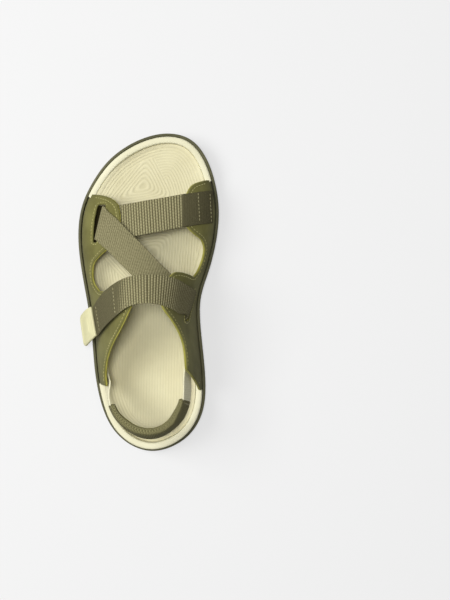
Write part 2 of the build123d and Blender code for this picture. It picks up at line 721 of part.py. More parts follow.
if __name__ == "__main__":
    os.makedirs("parts", exist_ok=True)
    for name, shape in build_nodes().items():
        export_step(shape, f"parts/{name}.step")
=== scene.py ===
"""Looks of the strappy sport sandal: soft meshes over the CAD frame, materials, light and camera.

Lengths are in millimetres until add() writes a mesh. +X is the medial side, +Y the toe, +Z up.
"""

import math

import bpy
import numpy as np
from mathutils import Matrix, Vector, geometry


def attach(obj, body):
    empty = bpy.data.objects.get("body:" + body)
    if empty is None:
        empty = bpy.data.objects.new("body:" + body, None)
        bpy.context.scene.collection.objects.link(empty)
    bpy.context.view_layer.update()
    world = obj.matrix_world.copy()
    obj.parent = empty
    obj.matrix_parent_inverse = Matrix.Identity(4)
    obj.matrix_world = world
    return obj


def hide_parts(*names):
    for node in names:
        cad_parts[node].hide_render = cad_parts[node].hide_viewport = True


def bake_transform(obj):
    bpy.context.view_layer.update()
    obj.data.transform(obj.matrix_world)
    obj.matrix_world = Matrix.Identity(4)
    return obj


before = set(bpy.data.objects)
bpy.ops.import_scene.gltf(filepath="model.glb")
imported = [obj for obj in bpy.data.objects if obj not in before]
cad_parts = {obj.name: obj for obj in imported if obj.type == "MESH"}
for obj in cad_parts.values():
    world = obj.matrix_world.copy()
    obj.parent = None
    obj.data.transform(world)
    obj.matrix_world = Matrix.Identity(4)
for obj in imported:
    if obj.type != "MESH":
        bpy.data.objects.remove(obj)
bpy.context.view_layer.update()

MM = 0.001
LATERAL, MEDIAL = -1, 1
BASE = "sole_and_upper"  # the body that stands on the ground

# Outsole outline, and the cross-sections of the skin that the panels and straps lie on.
OUTLINE = [
    (16, 125), (33, 120.5), (45.5, 106), (52.2, 88), (55.4, 66), (53.5, 42), (47, 16), (41.2, -4),
    (40.6, -20), (42.5, -42), (44.8, -70), (42.5, -94), (33, -111), (18, -121.5), (2, -124.8),
    (-14, -120), (-29, -106), (-38, -85), (-42.7, -59), (-45, -32), (-49, -4), (-53.5, 22),
    (-55.4, 48), (-52, 70), (-44, 87), (-31, 104), (-14, 116.5), (1, 122.8),
]
STATIONS = [  # y, crown x, crown z, then upright share and flat share on the lateral and medial side
    (100, 10, 30, 0.40, 0.60, 0.50, 0.60), (85, 9, 33, 0.40, 0.60, 0.50, 0.60),
    (63, 8, 38, 0.40, 0.60, 0.50, 0.60), (40, 6, 46, 0.36, 0.56, 0.46, 0.58),
    (15, 3, 57, 0.30, 0.50, 0.40, 0.55), (-8, 2, 71, 0.20, 0.42, 0.33, 0.52),
    (-40, 2, 88, 0.20, 0.35, 0.25, 0.50), (-85, 3, 95, 0.25, 0.40, 0.25, 0.50),
    (-100, 3, 95, 0.25, 0.40, 0.25, 0.50),
]
SKIN_INSET, PANEL_FOOT, PANEL, PANEL_BACK = 4.8, 4.2, 2.2, 1.5
WEB_T, WEB_WIDTH, WEB_CLEAR, FOLD_W, RIB_PITCH = 1.6, 25.4, 0.3, 26.2, 2.1
UNDER, OVER = -(WEB_T + WEB_CLEAR), PANEL + WEB_CLEAR
FLAP_LIFT = 1.9  # how much higher the closure flap lies than a strap right on the panel
SLOT_SPARE, SLOT_CORNER, SEAM_IN, EDGE_STEP, SKIN_STEP = 0.9, 1.6, 2.3, 0.7328, 1.5
FOOTBED_INSET, FOOTBED_FOOT, FOOTBED_TOP = 7.8, 8.22, 10.4
GROOVE_PITCH, GROOVE_DEPTH = 2.15, 0.62
LUG_TOP, CUP_FLOOR, NOTCH_PITCH = 1.5, 4.0, 10.6
WALL_TOP = [(-130, 6.8), (-60, 7.6), (60, 8.6), (88, 10.5), (104, 13.6), (116, 15.1), (130, 15.4)]
RIM_TOP = [
    (-130, 18.1), (-112, 17.3), (-80, 13.8), (-50, 12.2), (70, 12), (92, 12.8), (112, 15), (130, 15.8),
]
LUG_PITCH, LUG_GAP, LUG_ZIG, ZIG_LENGTH, GROOVE_X, LUG_REACH = 10.5, 2.2, 4.0, 18, 22.5, 119

LATERAL_EDGE = [
    [(-62, 79), (-44, 77.5)],
    [(-44, 77.5), (-35.5, 75.8), (-28.5, 73.2), (-23.5, 69), (-21, 62), (-21, 52), (-24.5, 42),
     (-30.5, 34), (-37, 28.5), (-42, 23), (-43.6, 15), (-42.2, 7), (-37.5, 1)],
    [(-37.5, 1), (-28, 0), (-19, 3), (-12, 4), (-8.5, 0), (-9, -7), (-12.5, -15), (-18, -26),
     (-24.5, -37), (-28.8, -46), (-31.3, -55), (-32.2, -64), (-31.5, -71.5)],
    [(-31.5, -71.5), (-36.5, -82.5), (-62, -84)],
]
MEDIAL_EDGE = [
    [(62, 89.5), (47.4, 88.5)],
    [(47.4, 88.5), (42.5, 86.8), (35.5, 83.3), (31.5, 77), (29.5, 68), (29.5, 58), (32.5, 50),
     (38, 45), (43, 40.8), (45, 35), (44.5, 28.5), (42.3, 21.5), (39.6, 15.5), (37, 12)],
    [(37, 12), (29.2, 15), (22.8, 15.2), (18.5, 11.5), (14, 4.5), (12.5, -3), (15, -11), (21, -19.5),
     (26.8, -30), (29.9, -39.5), (31.2, -48.5), (31.8, -57.5)],
    [(31.8, -57.5), (41.5, -76), (62, -78)],
]
LATERAL_SLOT = ((-31.0, 66.8), (-37.2, 39.6))
MEDIAL_SLOT = ((34.6, 2.2), (27.8, -20.4))

# Straps: front edge, rear edge and height over the skin.
TOE_RUN = [
    ((50.2, 80.2), (50.4, 54.5), OVER), ((46.5, 79.4), (47.2, 53.8), OVER), ((40, 78), (41, 52.6), OVER),
    ((34, 76.8), (35, 51.4), OVER), ((27, 75.6), (28, 50), OVER), ((19, 74), (20.5, 48.6), 1.4),
    ((10, 72.4), (12, 46.8), 0.2), ((0, 70.9), (2, 44.9), -0.4), ((-11, 69), (-9, 43), -1.0),
    ((-21, 67.6), (-20, 41.4), -1.7), ((-28, 67.3), (-30, 40.6), UNDER),
]
DIAGONAL_RUN = [
    ((-29.2, 62.2), (-35, 36.8), OVER), ((-23, 57), (-29.2, 31.8), OVER), ((-15.5, 49.5), (-22, 24.8), 2.2),
    ((-8, 42), (-14.5, 17.6), 1.4), ((0.5, 33.6), (-6.3, 9.8), 0.4), ((8.5, 25.2), (1.2, 3.4), -0.9),
    ((16.5, 17), (9.4, -4), UNDER), ((24.5, 9.2), (17.4, -11.4), UNDER), ((30.8, 5), (24, -14.6), UNDER),
]
CLOSURE_RUN = [
    ((31.6, 5.8), (25.6, -15.6), OVER + 0.3), ((25.5, 9.6), (21.6, -13), OVER + 0.3),
    ((18.5, 12), (16.2, -10.4), OVER + 0.3), ((10, 13.2), (9.6, -8.6), OVER + 0.3),
    ((1, 13.4), (2, -8), OVER + 0.4), ((-8, 12.8), (-6, -8.8), OVER + 1.0),
    ((-15, 10.8), (-12.6, -11.2), OVER + 1.8), ((-20, 8.6), (-17.4, -14.5), OVER + FLAP_LIFT),
    ((-26, 5), (-23, -19), OVER + FLAP_LIFT), ((-32, 0.4), (-28.5, -23.8), OVER + FLAP_LIFT),
    ((-37.5, -5.4), (-33.4, -28.6), OVER + FLAP_LIFT), ((-41.8, -11), (-37.6, -33.2), OVER + FLAP_LIFT),
]
# The straps' ends that carry on inside the panel behind each slot: a dark sheet of painted shade that fills
# the gap seen through each slot.
TOE_SHADE_TAIL = [
    ((-30.5, 67.3), (-33, 40), UNDER), ((-36, 67.6), (-39.5, 39), UNDER), ((-41.5, 68), (-45, 38.4), UNDER),
]
INSTEP_SHADE_TAIL = [
    ((32.5, 4.2), (25.6, -18), UNDER), ((35.4, 3), (28.8, -21.4), UNDER), ((38.2, 1.8), (32, -24.2), UNDER),
]
PEEL_X = -19.8  # the closure strap's end lifts off from here
PATCH_START = ((-21, 8), (-18.3, -15.2))
FLAP_SEAMS = [[(-24.4, 4.2), (-21.6, -15.8)], [(-39.4, -10.2), (-35.6, -29.4)]]
LOOP_SEAM = [(-22, 5), (-19.8, -14), (-36, -29), (-39.6, -10), (-22, 5)]


# ---- Curves ----
def closed_curve(points, count=1400):
    """Points along the smooth closed curve through the given points."""
    p = np.array(points, float)
    q = np.vstack([p, p[:1]])
    h = np.linalg.norm(np.diff(q, axis=0), axis=1)
    n = len(p)
    a, r = np.zeros((n, n)), np.zeros((n, 2))
    for i in range(n):
        a[i, i - 1] += h[i - 1]
        a[i, i] += 2 * (h[i - 1] + h[i])
        a[i, (i + 1) % n] += h[i]
        r[i] = 6 * ((q[i + 1] - q[i]) / h[i] - (p[i] - p[i - 1]) / h[i - 1])
    m = np.linalg.solve(a, r)
    m = np.vstack([m, m[:1]])
    knots = np.concatenate([[0], np.cumsum(h)])
    s = np.linspace(0, knots[-1], count, endpoint=False)
    k = np.clip(np.searchsorted(knots, s, side="right") - 1, 0, n - 1)
    u, span = (s - knots[k])[:, None], h[k][:, None]
    w = span - u
    bend = m[k] * w**3 / (6 * span) + m[k + 1] * u**3 / (6 * span)
    return bend + (q[k] / span - m[k] * span / 6) * w + (q[k + 1] / span - m[k + 1] * span / 6) * u


def through(x, v, q):
    """Values at q of the smooth curve through v at x; v may have any further axes."""
    slope = np.gradient(v, x, axis=0)
    q = np.clip(q, x[0], x[-1])
    i = np.clip(np.searchsorted(x, q) - 1, 0, len(x) - 2)
    extra = (...,) + (None,) * (v.ndim - 1)
    h = (x[i + 1] - x[i])[extra]
    t = (q - x[i])[extra] / h
    start = (2 * t**3 - 3 * t**2 + 1) * v[i] + (t**3 - 2 * t**2 + t) * h * slope[i]
    return start + (3 * t**2 - 2 * t**3) * v[i + 1] + (t**3 - t**2) * h * slope[i + 1]


def lengths(p):
    """Distance along a row of points."""
    return np.concatenate([[0], np.cumsum(np.linalg.norm(np.diff(p, axis=0), axis=-1))])


def spaced(points, step):
    """Points at even steps along the smooth open curve through the given points."""
    p = np.array(points, float)
    s = lengths(p)
    fine = through(s, p, np.linspace(0, s[-1], 60 * len(p)))
    f = lengths(fine)
    at = np.linspace(0, f[-1], max(2, round(f[-1] / step) + 1))
    return np.stack([np.interp(at, f, fine[:, k]) for k in range(fine.shape[1])], -1)


def even(loop, step):
    """A closed loop's points at even steps."""
    ring = np.vstack([loop, loop[:1]])
    s = lengths(ring)
    at = np.linspace(0, s[-1], round(s[-1] / step), endpoint=False)
    return np.stack([np.interp(at, s, ring[:, k]) for k in range(2)], -1)


def smoothstep(x, low, high):
    """0 below low and 1 above high, with a smooth rise between."""
    t = np.clip((np.asarray(x, float) - low) / (high - low), 0, 1)
    return t * t * (3 - 2 * t)


def unit(v):
    return v / np.linalg.norm(v, axis=-1, keepdims=True)


# ---- The sole's outline and the skin ----
RIM = closed_curve(OUTLINE)
HEADING = unit(np.roll(RIM, -1, 0) - np.roll(RIM, 1, 0))
INWARD = np.c_[HEADING[:, 1], -HEADING[:, 0]]


def foot_line(inset):
    """For each side, the outline moved in by inset, as rows of x against rising y."""
    line = RIM + INWARD * inset
    top, low = int(np.argmax(line[:, 1])), int(np.argmin(line[:, 1]))
    n = len(line)
    down = line[np.arange(top, low if low > top else low + n) % n][::-1]
    up = line[np.arange(low, top if top > low else top + n) % n]
    return {MEDIAL: down, LATERAL: up}


SKIN_FOOT = foot_line(SKIN_INSET)
TABLE = np.array(sorted(STATIONS), float)
LATERAL_X, MEDIAL_X = SKIN_FOOT[LATERAL], SKIN_FOOT[MEDIAL]


def station(y):
    """The skin's measures at y: crown x and z, then upright and flat share, lateral and medial."""
    return np.moveaxis(through(TABLE[:, 0], TABLE[:, 1:], np.asarray(y, float)), -1, 0)


def section(y, t, side):
    """Points of the skin: t is 0 at the sole and 1 at the crown; side is -1 or 1. All are arrays."""
    crown_x, crown_z, up_l, flat_l, up_m, flat_m = station(y)
    medial = side > 0
    up, flat = np.where(medial, up_m, up_l), np.where(medial, flat_m, flat_l)
    foot = np.where(
        medial, np.interp(y, MEDIAL_X[:, 1], MEDIAL_X[:, 0]), np.interp(y, LATERAL_X[:, 1], LATERAL_X[:, 0])
    )
    across = (1 - t) ** 3 + 3 * (1 - t) ** 2 * t + 3 * (1 - t) * t * t * flat
    rise = 3 * (1 - t) ** 2 * t * up + 3 * (1 - t) * t * t + t**3
    x, z = crown_x + (foot - crown_x) * across, PANEL_FOOT + (crown_z - PANEL_FOOT) * rise
    return np.stack([x, y + 0 * t, z], -1)


def skin(y, t, side, lift=0.0):
    """Points lift above the skin, and its outward normals."""
    y, t, side = np.broadcast_arrays(np.asarray(y, float), np.asarray(t, float), side)
    e = 1e-3
    p = section(y, t, side)
    up = section(y, t + e, side) - section(y, t - e, side)
    ahead = section(y + 0.5, t, side) - section(y - 0.5, t, side)
    n = unit(np.cross(up, ahead) * -side[..., None])
    return p + n * np.asarray(lift)[..., None], n


def locate(x, y, lift):
    """The section coordinates y, t and side of the points lift above the skin at x, y in plan."""
    x, y = np.asarray(x, float), np.asarray(y, float)
    side = np.where(x > station(y)[0], 1, -1)
    base = y.copy()
    for _ in range(3):
        low, high = np.zeros_like(x), np.ones_like(x)
        for _ in range(26):
            t = (low + high) / 2
            p, _ = skin(base, t, side, lift)
            further = (p[..., 0] - x) * side > 0
            low, high = np.where(further, t, low), np.where(further, high, t)
        base += y - p[..., 1]
    return base, t, side


def over_skin(x, y, lift):
    """The points lift above the skin whose plan position is x, y, and their normals."""
    base, t, side = locate(x, y, lift)
    return skin(base, t, side, lift)


# ---- Meshes ----
def grid(rows, columns, around_rows=False, around_columns=False):
    """Quads over a grid of rows by columns of points."""
    i = np.arange(rows if around_rows else rows - 1)[:, None]
    j = np.arange(columns if around_columns else columns - 1)[None]
    i2, j2 = (i + 1) % rows, (j + 1) % columns
    corners = np.stack([i * columns + j, i2 * columns + j, i2 * columns + j2, i * columns + j2], -1)
    return corners.reshape(-1, 4)


def add(name, co, faces, material, body, slot, replaces=(), uv=None, flat_angle=None):
    """A mesh object from points in millimetres; it rides on a body unless body is None."""
    mesh = bpy.data.meshes.new(name)
    faces = [f for part in faces for f in np.asarray(part).tolist()]
    mesh.from_pydata((np.asarray(co, float).reshape(-1, 3) * MM).tolist(), [], faces)
    mesh.validate()
    mesh.update()
    if uv is not None:
        layer = mesh.uv_layers.new(name="cloth")
        index = np.empty(len(mesh.loops), int)
        mesh.loops.foreach_get("vertex_index", index)
        layer.data.foreach_set("uv", np.asarray(uv, np.float32)[index].ravel())
    mesh.polygons.foreach_set("use_smooth", np.ones(len(mesh.polygons), bool))
    o = bpy.data.objects.new(name, mesh)
    bpy.context.scene.collection.objects.link(o)
    mesh.materials.append(material)
    if flat_angle:
        mesh.set_sharp_from_angle(angle=math.radians(flat_angle))
    if body:
        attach(o, body)
    if replaces:
        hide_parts(*replaces)
    return o


def outward(co, faces):
    """Faces of a closed mesh turned so that their normals point out."""
    co = np.asarray(co, float).reshape(-1, 3)
    volume = 0
    for part in faces:
        f = np.asarray(part)
        a, c = co[f[:, 0]], co[f[:, 2]]
        b = co[f[:, 1]]
        volume += np.einsum("ij,ij->i", a, np.cross(b, c)).sum()
        if f.shape[1] == 4:
            volume += np.einsum("ij,ij->i", a, np.cross(c, co[f[:, 3]])).sum()
    return faces if volume > 0 else [np.asarray(part)[:, ::-1] for part in faces]


def slab(outer, inner):
    """A closed layer between two grids of points: its points and faces."""
    co = np.concatenate([outer, inner[:, ::-1]], 1)
    k, m = co.shape[:2]
    c = np.arange(m // 2 - 1)
    first = np.stack([c, c + 1, m - 2 - c, m - 1 - c], -1)
    return co, outward(co, [grid(k, m, around_columns=True), first, first[:, ::-1] + (k - 1) * m])


def attribute(o, name, values):
    """A value at each point of an object's mesh, for its material to read."""
    layer = o.data.attributes.new(name, "FLOAT", "POINT")
    layer.data.foreach_set("value", np.asarray(values, np.float32).ravel())


def rounding(d, reach):
    """How far a rounded edge falls, 1 at the edge and 0 from reach inward."""
    return 1 - np.sqrt(np.maximum(1 - np.maximum(1 - d / reach, 0) ** 2, 0))


# ---- Straps ----
def web_across(count=44, edge=0.8, width=WEB_WIDTH):
    """Places across a strap from -1 to 1, closer together at the rounded edges, and its half thickness."""
    inner = np.linspace(-1, 1, count) * (1 - 2 * edge / width)
    curl = 1 - 2 * edge / width * (1 - np.sin(np.linspace(0, math.pi / 2, 5)[1:]))
    v = np.concatenate([-curl[::-1], inner, curl])
    into = np.clip(1 - (1 - np.abs(v)) * width / 2 / edge, 0, 1)
    return v, np.sqrt(np.maximum(1 - into**2, 0.02))


def plan_rows(table, v):
    """Plan positions at the places v across rows that give the front and the rear edge."""
    share = (v + 1) / 2
    return [table[:, k : k + 1] * (1 - share) + table[:, k + 2 : k + 3] * share for k in (0, 1)]


def run_rows(run, v, step=1.5):
    """Points along the middle of a strap's thickness, for a run of edge pairs."""
    table = np.array([[*front, *rear, height] for front, rear, height in run], float)
    s = lengths((table[:, :2] + table[:, 2:4]) / 2)
    table = through(s, table, np.linspace(0, s[-1], max(2, round(s[-1] / step))))
    x, y = plan_rows(table, v)
    return over_skin(x, y, table[:, 4:5] + WEB_T / 2)[0]


def fold_rows(slot, side, v, steps=15):
    """Points along the middle of the webbing's thickness where it turns through a slot."""
    front, rear = np.array(slot)
    ends, _ = over_skin(*np.array(slot).T, 0)
    across = unit(ends[1] - ends[0])
    width = np.linalg.norm(ends[1] - ends[0])
    margin = (1 - FOLD_W / width) / 2
    share = margin + (1 - 2 * margin) * (v + 1) / 2
    plan = front + (rear - front) * share[:, None]
    p, n = over_skin(*plan.T, 0)
    out = unit(np.cross(across, n))
    out = out * (side * np.sign(out[:, :1]))
    mid, radius = (OVER + UNDER + WEB_T) / 2, (OVER - UNDER) / 2
    angle = np.linspace(0, math.pi, steps)[1:-1, None, None]
    turn = out * np.sin(angle) - n * np.cos(angle)
    return p + n * mid + out * WEB_CLEAR + turn * radius


def cloth_map(along, across):
    """Texture places on both faces of a band, in millimetres along and across it."""
    both = np.concatenate([across, across[::-1]])
    return np.stack(np.broadcast_arrays(along[:, None], both[None]), -1).reshape(-1, 2)


def strap(parts, v, half, rib, step=0.26):
    """Closed mesh of a strap through rows of mid-plane points; rib gives the ribs' height at a point."""
    rows = np.concatenate(parts)
    s = lengths(rows.mean(1))
    keep = np.concatenate([[True], np.diff(s) > 0.2])
    rows, s = rows[keep], lengths(rows[keep].mean(1))
    at = np.linspace(0, s[-1], round(s[-1] / step))
    mid = through(s, rows, at)
    n = unit(np.cross(np.gradient(mid, axis=1), np.gradient(mid, axis=0)))
    frac = (at / RIB_PITCH) % 1
    cord = (1 - (2 * frac - 1) ** 2 - 0.66)[:, None] * half
    thick = (WEB_T / 2 - 0.12) * half[None] + rib(mid) * cord
    co, faces = slab(mid + n * thick[..., None], mid - n * thick[..., None])
    return co.reshape(-1, 3), faces, cloth_map(at, v * WEB_WIDTH / 2)


def capsules(points, normals, length=2.0, radius=0.36, share=0.74):
    """Thread stitches along a row of points, as rounded bars sunk a little into the cloth."""
    a, b = points[:-1], points[1:]
    d = b - a
    reach = np.linalg.norm(d, axis=1)
    ok = (reach > 0.6) & (reach < 6)
    a, b, d, n, reach = a[ok], b[ok], d[ok], normals[:-1][ok], reach[ok]
    d = unit(d)
    side = unit(np.cross(d, n))
    n = np.cross(side, d)
    s = np.array([-1, -0.93, -0.75, -0.3, 0.3, 0.75, 0.93, 1])[:, None, None]
    r = radius * np.sqrt(np.maximum(1 - np.maximum(np.abs(s) - 0.45, 0) ** 2 / 0.3025, 0.0009))
    dive = radius * 0.5 * np.abs(s) ** 3
    half = (np.minimum(length, reach * share) / 2)[:, None, None, None]
    corners = 8
    angle = np.linspace(0, 2 * math.pi, corners, endpoint=False)[:, None]
    middle, d, side, n = (q[:, None, None] for q in ((a + b) / 2, d, side, n))
    ring = middle + d * (s * half) + side * (np.cos(angle) * r) + n * (np.sin(angle) * r - dive)
    per = len(s) * corners
    one = grid(len(s), corners, around_columns=True)
    ends = np.array([np.arange(corners)[::-1], np.arange(corners) + per - corners])
    bases = range(0, len(a) * per, per)
    return ring.reshape(-1, 3), [np.concatenate([f + k for k in bases]) for f in (one, ends)]


def merge(pieces):
    """One mesh from several (points, faces) pairs."""
    co, faces, base = [], [], 0
    for c, f in pieces:
        co.append(np.asarray(c).reshape(-1, 3))
        faces += [np.asarray(part) + base for part in f]
        base += len(co[-1])
    return np.concatenate(co), faces


def add_thread(name, mesh, mat, replaces, body=BASE):
    """Stitches as one piece."""
    add(name, *mesh, mat, body, "thread_olive", [replaces])


def stitch_row(plan, lift, step=2.9, length=2.1):
    """Stitches at even steps along a plan line over the skin."""
    line = spaced(plan, step)
    return capsules(*over_skin(*line.T, lift), length)


# ---- Plane regions ----
def edge_runs(edge):
    """The panel's free edge as one row of closely set plan points."""
    rows = [spaced(run, 0.8) if len(run) > 3 else np.array(run, float) for run in edge]
    return np.concatenate([rows[0]] + [r[1:] for r in rows[1:]])


def inside(p, loop):
    """Which points lie inside a closed loop."""
    x, y = p[:, 0:1], p[:, 1:2]
    a, b = loop, np.roll(loop, -1, 0)
    spans = (a[:, 1] > y) != (b[:, 1] > y)
    at = (b[:, 0] - a[:, 0]) * (y - a[:, 1]) / (b[:, 1] - a[:, 1] + 1e-12) + a[:, 0]
    return (spans & (x < at)).sum(1) % 2 == 1


def to_edge(p, loops, far=60.0):
    """Distance from each point to the nearest point of the loops' segments."""
    best = np.full(len(p), far)
    for loop in loops:
        a, b = loop, np.roll(loop, -1, 0)
        for start in range(0, len(p), 4000):
            q = p[start : start + 4000, None]
            d = b - a
            t = np.clip(((q - a) * d).sum(-1) / np.maximum((d * d).sum(-1), 1e-9), 0, 1)
            dist = np.linalg.norm(q - (a + d * t[..., None]), axis=-1).min(1)
            best[start : start + 4000] = np.minimum(best[start : start + 4000], dist)
    return best


def leftward(line, closed=True):
    """Unit directions to the left along a line of points."""
    ahead = unit(np.roll(line, -1, 0) - np.roll(line, 1, 0) if closed else np.gradient(line, axis=0))
    return np.c_[-ahead[:, 1], ahead[:, 0]]


def out_of(loop):
    """Unit directions out of a closed loop at its points."""
    left = leftward(loop)
    return left * (-1 if inside(loop + left * 0.05, loop).mean() > 0.5 else 1)


def within(p, outer, holes):
    """Which points lie inside the outer loop and outside the holes."""
    ok = inside(p, outer)
    for hole in holes:
        ok &= ~inside(p, hole)
    return ok


def fill(outer, holes, step, rings=()):
    """Triangles over a plane region: points, faces and each point's distance to the edge."""
    loops = [outer, *holes]
    low, high = outer.min(0), outer.max(0)
    gx, gy = np.meshgrid(np.arange(low[0], high[0], step), np.arange(low[1], high[1], step * 0.87))
    gx[::2] += step / 2
    g = np.c_[gx.ravel(), gy.ravel()]
    g = g[within(g, outer, holes)]
    g = g[to_edge(g, loops) > max(rings, default=0) + step * 0.6]
    points, edges = [g], []
    base = len(g)
    for k, loop in enumerate(loops):
        way = out_of(loop) * (-1 if k == 0 else 1)
        edges += [(base + i, base + (i + 1) % len(loop)) for i in range(len(loop))]
        points.append(loop)
        base += len(loop)
        for r in rings:
            ring = loop + way * r
            good = (to_edge(ring, loops) > r * 0.92) & inside(ring, outer)
            points.append(ring[good])
            base += int(good.sum())
    p = np.concatenate(points)
    out = geometry.delaunay_2d_cdt([Vector(q) for q in p.tolist()], edges, [], 0, 1e-4)
    co = np.array([list(q) for q in out[0]])
    faces = np.array(out[2])
    faces = faces[within(co[faces].mean(1), outer, holes)]
    return co, faces, to_edge(co, loops)


def shell(flat, faces, top, bottom):
    """A closed layer between two surfaces over the same triangles."""
    n = len(flat)
    co = np.concatenate([top, bottom])
    a, b, c = (flat[faces[:, k]] for k in range(3))
    area = (b[:, 0] - a[:, 0]) * (c[:, 1] - a[:, 1]) - (b[:, 1] - a[:, 1]) * (c[:, 0] - a[:, 0])
    tri = np.where(area[:, None] > 0, faces, faces[:, ::-1])
    directed = {(int(f[k]), int(f[(k + 1) % 3])) for f in tri for k in range(3)}
    border = [(i, j) for i, j in directed if (j, i) not in directed]
    walls = np.array([[j, i, i + n, j + n] for i, j in border])
    return co, outward(co, [tri, tri[:, ::-1] + n, walls])


def at_height(flat, z):
    """Plane points at a height, or each at its own."""
    return np.c_[flat, np.broadcast_to(z, len(flat))]


# ---- Materials ----
def linear(*rgb):
    """A colour given as 0 to 255 display values, as the shader's linear colour."""
    c = np.array(rgb, float) / 255
    return (*np.where(c <= 0.04045, c / 12.92, ((c + 0.055) / 1.055) ** 2.4), 1.0)


class Shader:
    """A Principled material with a few procedural layers."""

    def __init__(self, name, rough=0.7, sheen=0.0, specular=0.35):
        self.m = bpy.data.materials.new(name)
        self.m.use_nodes = True
        self.nodes, self.links = self.m.node_tree.nodes, self.m.node_tree.links
        self.p = self.nodes["Principled BSDF"]
        self.p.inputs["Roughness"].default_value = rough
        self.p.inputs["Sheen Weight"].default_value = sheen
        self.p.inputs["Specular IOR Level"].default_value = specular
        self.height = None

    def feed(self, socket, value):
        """An input gets another node's output or a plain value."""
        if hasattr(value, "is_linked"):
            self.links.new(value, socket)
        else:
            socket.default_value = value

    def node(self, kind, **values):
        """A node with its inputs and settings given by name."""
        n = self.nodes.new(kind)
        for key, value in values.items():
            if key in n.inputs:
                self.feed(n.inputs[key], value)
            else:
                setattr(n, key, value)
        return n

    def noise(self, scale, detail=3.0, rough=0.55):
        place = self.node("ShaderNodeTexCoord").outputs["Object"]
        n = self.node("ShaderNodeTexNoise", Vector=place, Scale=scale, Detail=detail, Roughness=rough)
        return n.outputs["Fac"]

    def attribute(self, name):
        return self.node("ShaderNodeAttribute", attribute_name=name).outputs["Fac"]

    def math(self, operation, *values):
        n = self.node("ShaderNodeMath", operation=operation)
        for socket, value in zip(n.inputs, values):
            self.feed(socket, value)
        return n.outputs[0]

    def mix(self, factor, a, b):
        n = self.node("ShaderNodeMix", data_type="RGBA")
        for k, value in ((0, factor), (6, a), (7, b)):
            self.feed(n.inputs[k], value)
        return n.outputs[2]

    def ramp(self, factor, low, high):
        limits = {"From Min": low, "From Max": high}
        return self.node("ShaderNodeMapRange", Value=factor, **limits).outputs[0]

    def color(self, value):
        self.feed(self.p.inputs["Base Color"], value)

    def bump(self, height, distance):
        n = self.node("ShaderNodeBump", Strength=1.0, Distance=distance, Height=height)
        if self.height:
            self.feed(n.inputs["Normal"], self.height)
        self.height = n.outputs[0]
        self.feed(self.p.inputs["Normal"], self.height)


def plain(name, dark, light, grain, depth, rough=0.75, sheen=0.0, specular=0.3, blotch=60):
    """A solid colour that wanders a little between two tones, with a fine grain."""
    s = Shader(name, rough, sheen, specular)
    s.color(s.mix(s.ramp(s.noise(blotch, 4.0), 0.35, 0.65), linear(*dark), linear(*light)))
    s.bump(s.noise(grain, 4.0, 0.65), depth)
    return s.m


def woven(name, dark, light, across=1.15, along=0.7, depth=0.00016, zone=True):
    """Webbing: cords across it, strongest where the mesh says, with painted highlight on their crests and
    painted shade between them, a fine weave over them, and painted shade from the mesh's shade attribute.
    """
    # The colour of painted shade, which the cloth turns to where the mesh's shade is low.
    deep = linear(26, 22, 2)
    s = Shader(name, 0.85, 0.0, 0.1)
    uv = s.node("ShaderNodeUVMap", uv_map="cloth").outputs[0]
    u, v, _ = s.node("ShaderNodeSeparateXYZ", Vector=uv).outputs
    warp = s.math("SINE", s.math("MULTIPLY", v, 2 * math.pi / across))
    weft = s.math("SINE", s.math("MULTIPLY", u, 2 * math.pi / along))
    shift = s.math("SINE", s.math("MULTIPLY", u, math.pi / along))
    cross = s.math("ADD", s.math("MULTIPLY", warp, shift), s.math("MULTIPLY", weft, 0.6))
    fine = s.ramp(cross, -1.3, 1.3)
    cord = s.math("DIVIDE", u, RIB_PITCH)
    phase = s.math("FRACT", cord)
    from_crest = s.math("ABSOLUTE", s.math("SUBTRACT", s.math("MULTIPLY", phase, 2.0), 1.0))
    crest = s.math("SUBTRACT", 1.0, s.math("POWER", from_crest, 2.0))
    if zone:
        strength, shade = s.attribute("rib"), s.attribute("shade")
        turn = s.math("MULTIPLY", s.math("FLOOR", cord), math.pi)
        bead = s.math("SINE", s.math("ADD", s.math("MULTIPLY", v, 2 * math.pi / 2.3), turn))
        crest = s.math("MULTIPLY", crest, s.math("ADD", s.math("MULTIPLY", bead, 0.14), 0.86))
        ribbed = s.math("MULTIPLY", s.math("SUBTRACT", crest, 0.58), strength)
    else:
        shade, ribbed = 1.0, 0.0
    beads = s.math("MULTIPLY", s.math("SUBTRACT", fine, 0.5), 0.9)
    speck = s.math("MULTIPLY", s.math("SUBTRACT", s.noise(900, 2.0), 0.5), 0.5)
    # Painted shade and highlight over the ribs: the cords' crests are coloured lighter and their valleys
    # darker.
    cords = s.math("ADD", s.math("MULTIPLY", ribbed, 1.2), 0.5)
    tone = s.math("ADD", cords, s.math("ADD", beads, speck))
    cloth = s.mix(s.ramp(tone, 0.0, 1.0), linear(*dark), linear(*light))
    # Painted shade: the cloth is mixed towards the deep colour where the mesh's shade is low.
    s.color(s.mix(shade, deep, cloth))
    s.bump(fine, depth)
    s.bump(s.noise(2500, 2.0), 0.00004)
    return s.m


def grooved(name, dark, light, groove):
    """Foam with painted shade in its grooves: darker where the mesh has a groove."""
    s = Shader(name, 0.72, 0.05, 0.3)
    foam = s.mix(s.ramp(s.noise(25, 4.0), 0.35, 0.65), linear(*dark), linear(*light))
    s.color(s.mix(s.attribute("groove"), foam, linear(*groove)))
    s.bump(s.noise(700, 4.0, 0.65), 0.00005)
    return s.m


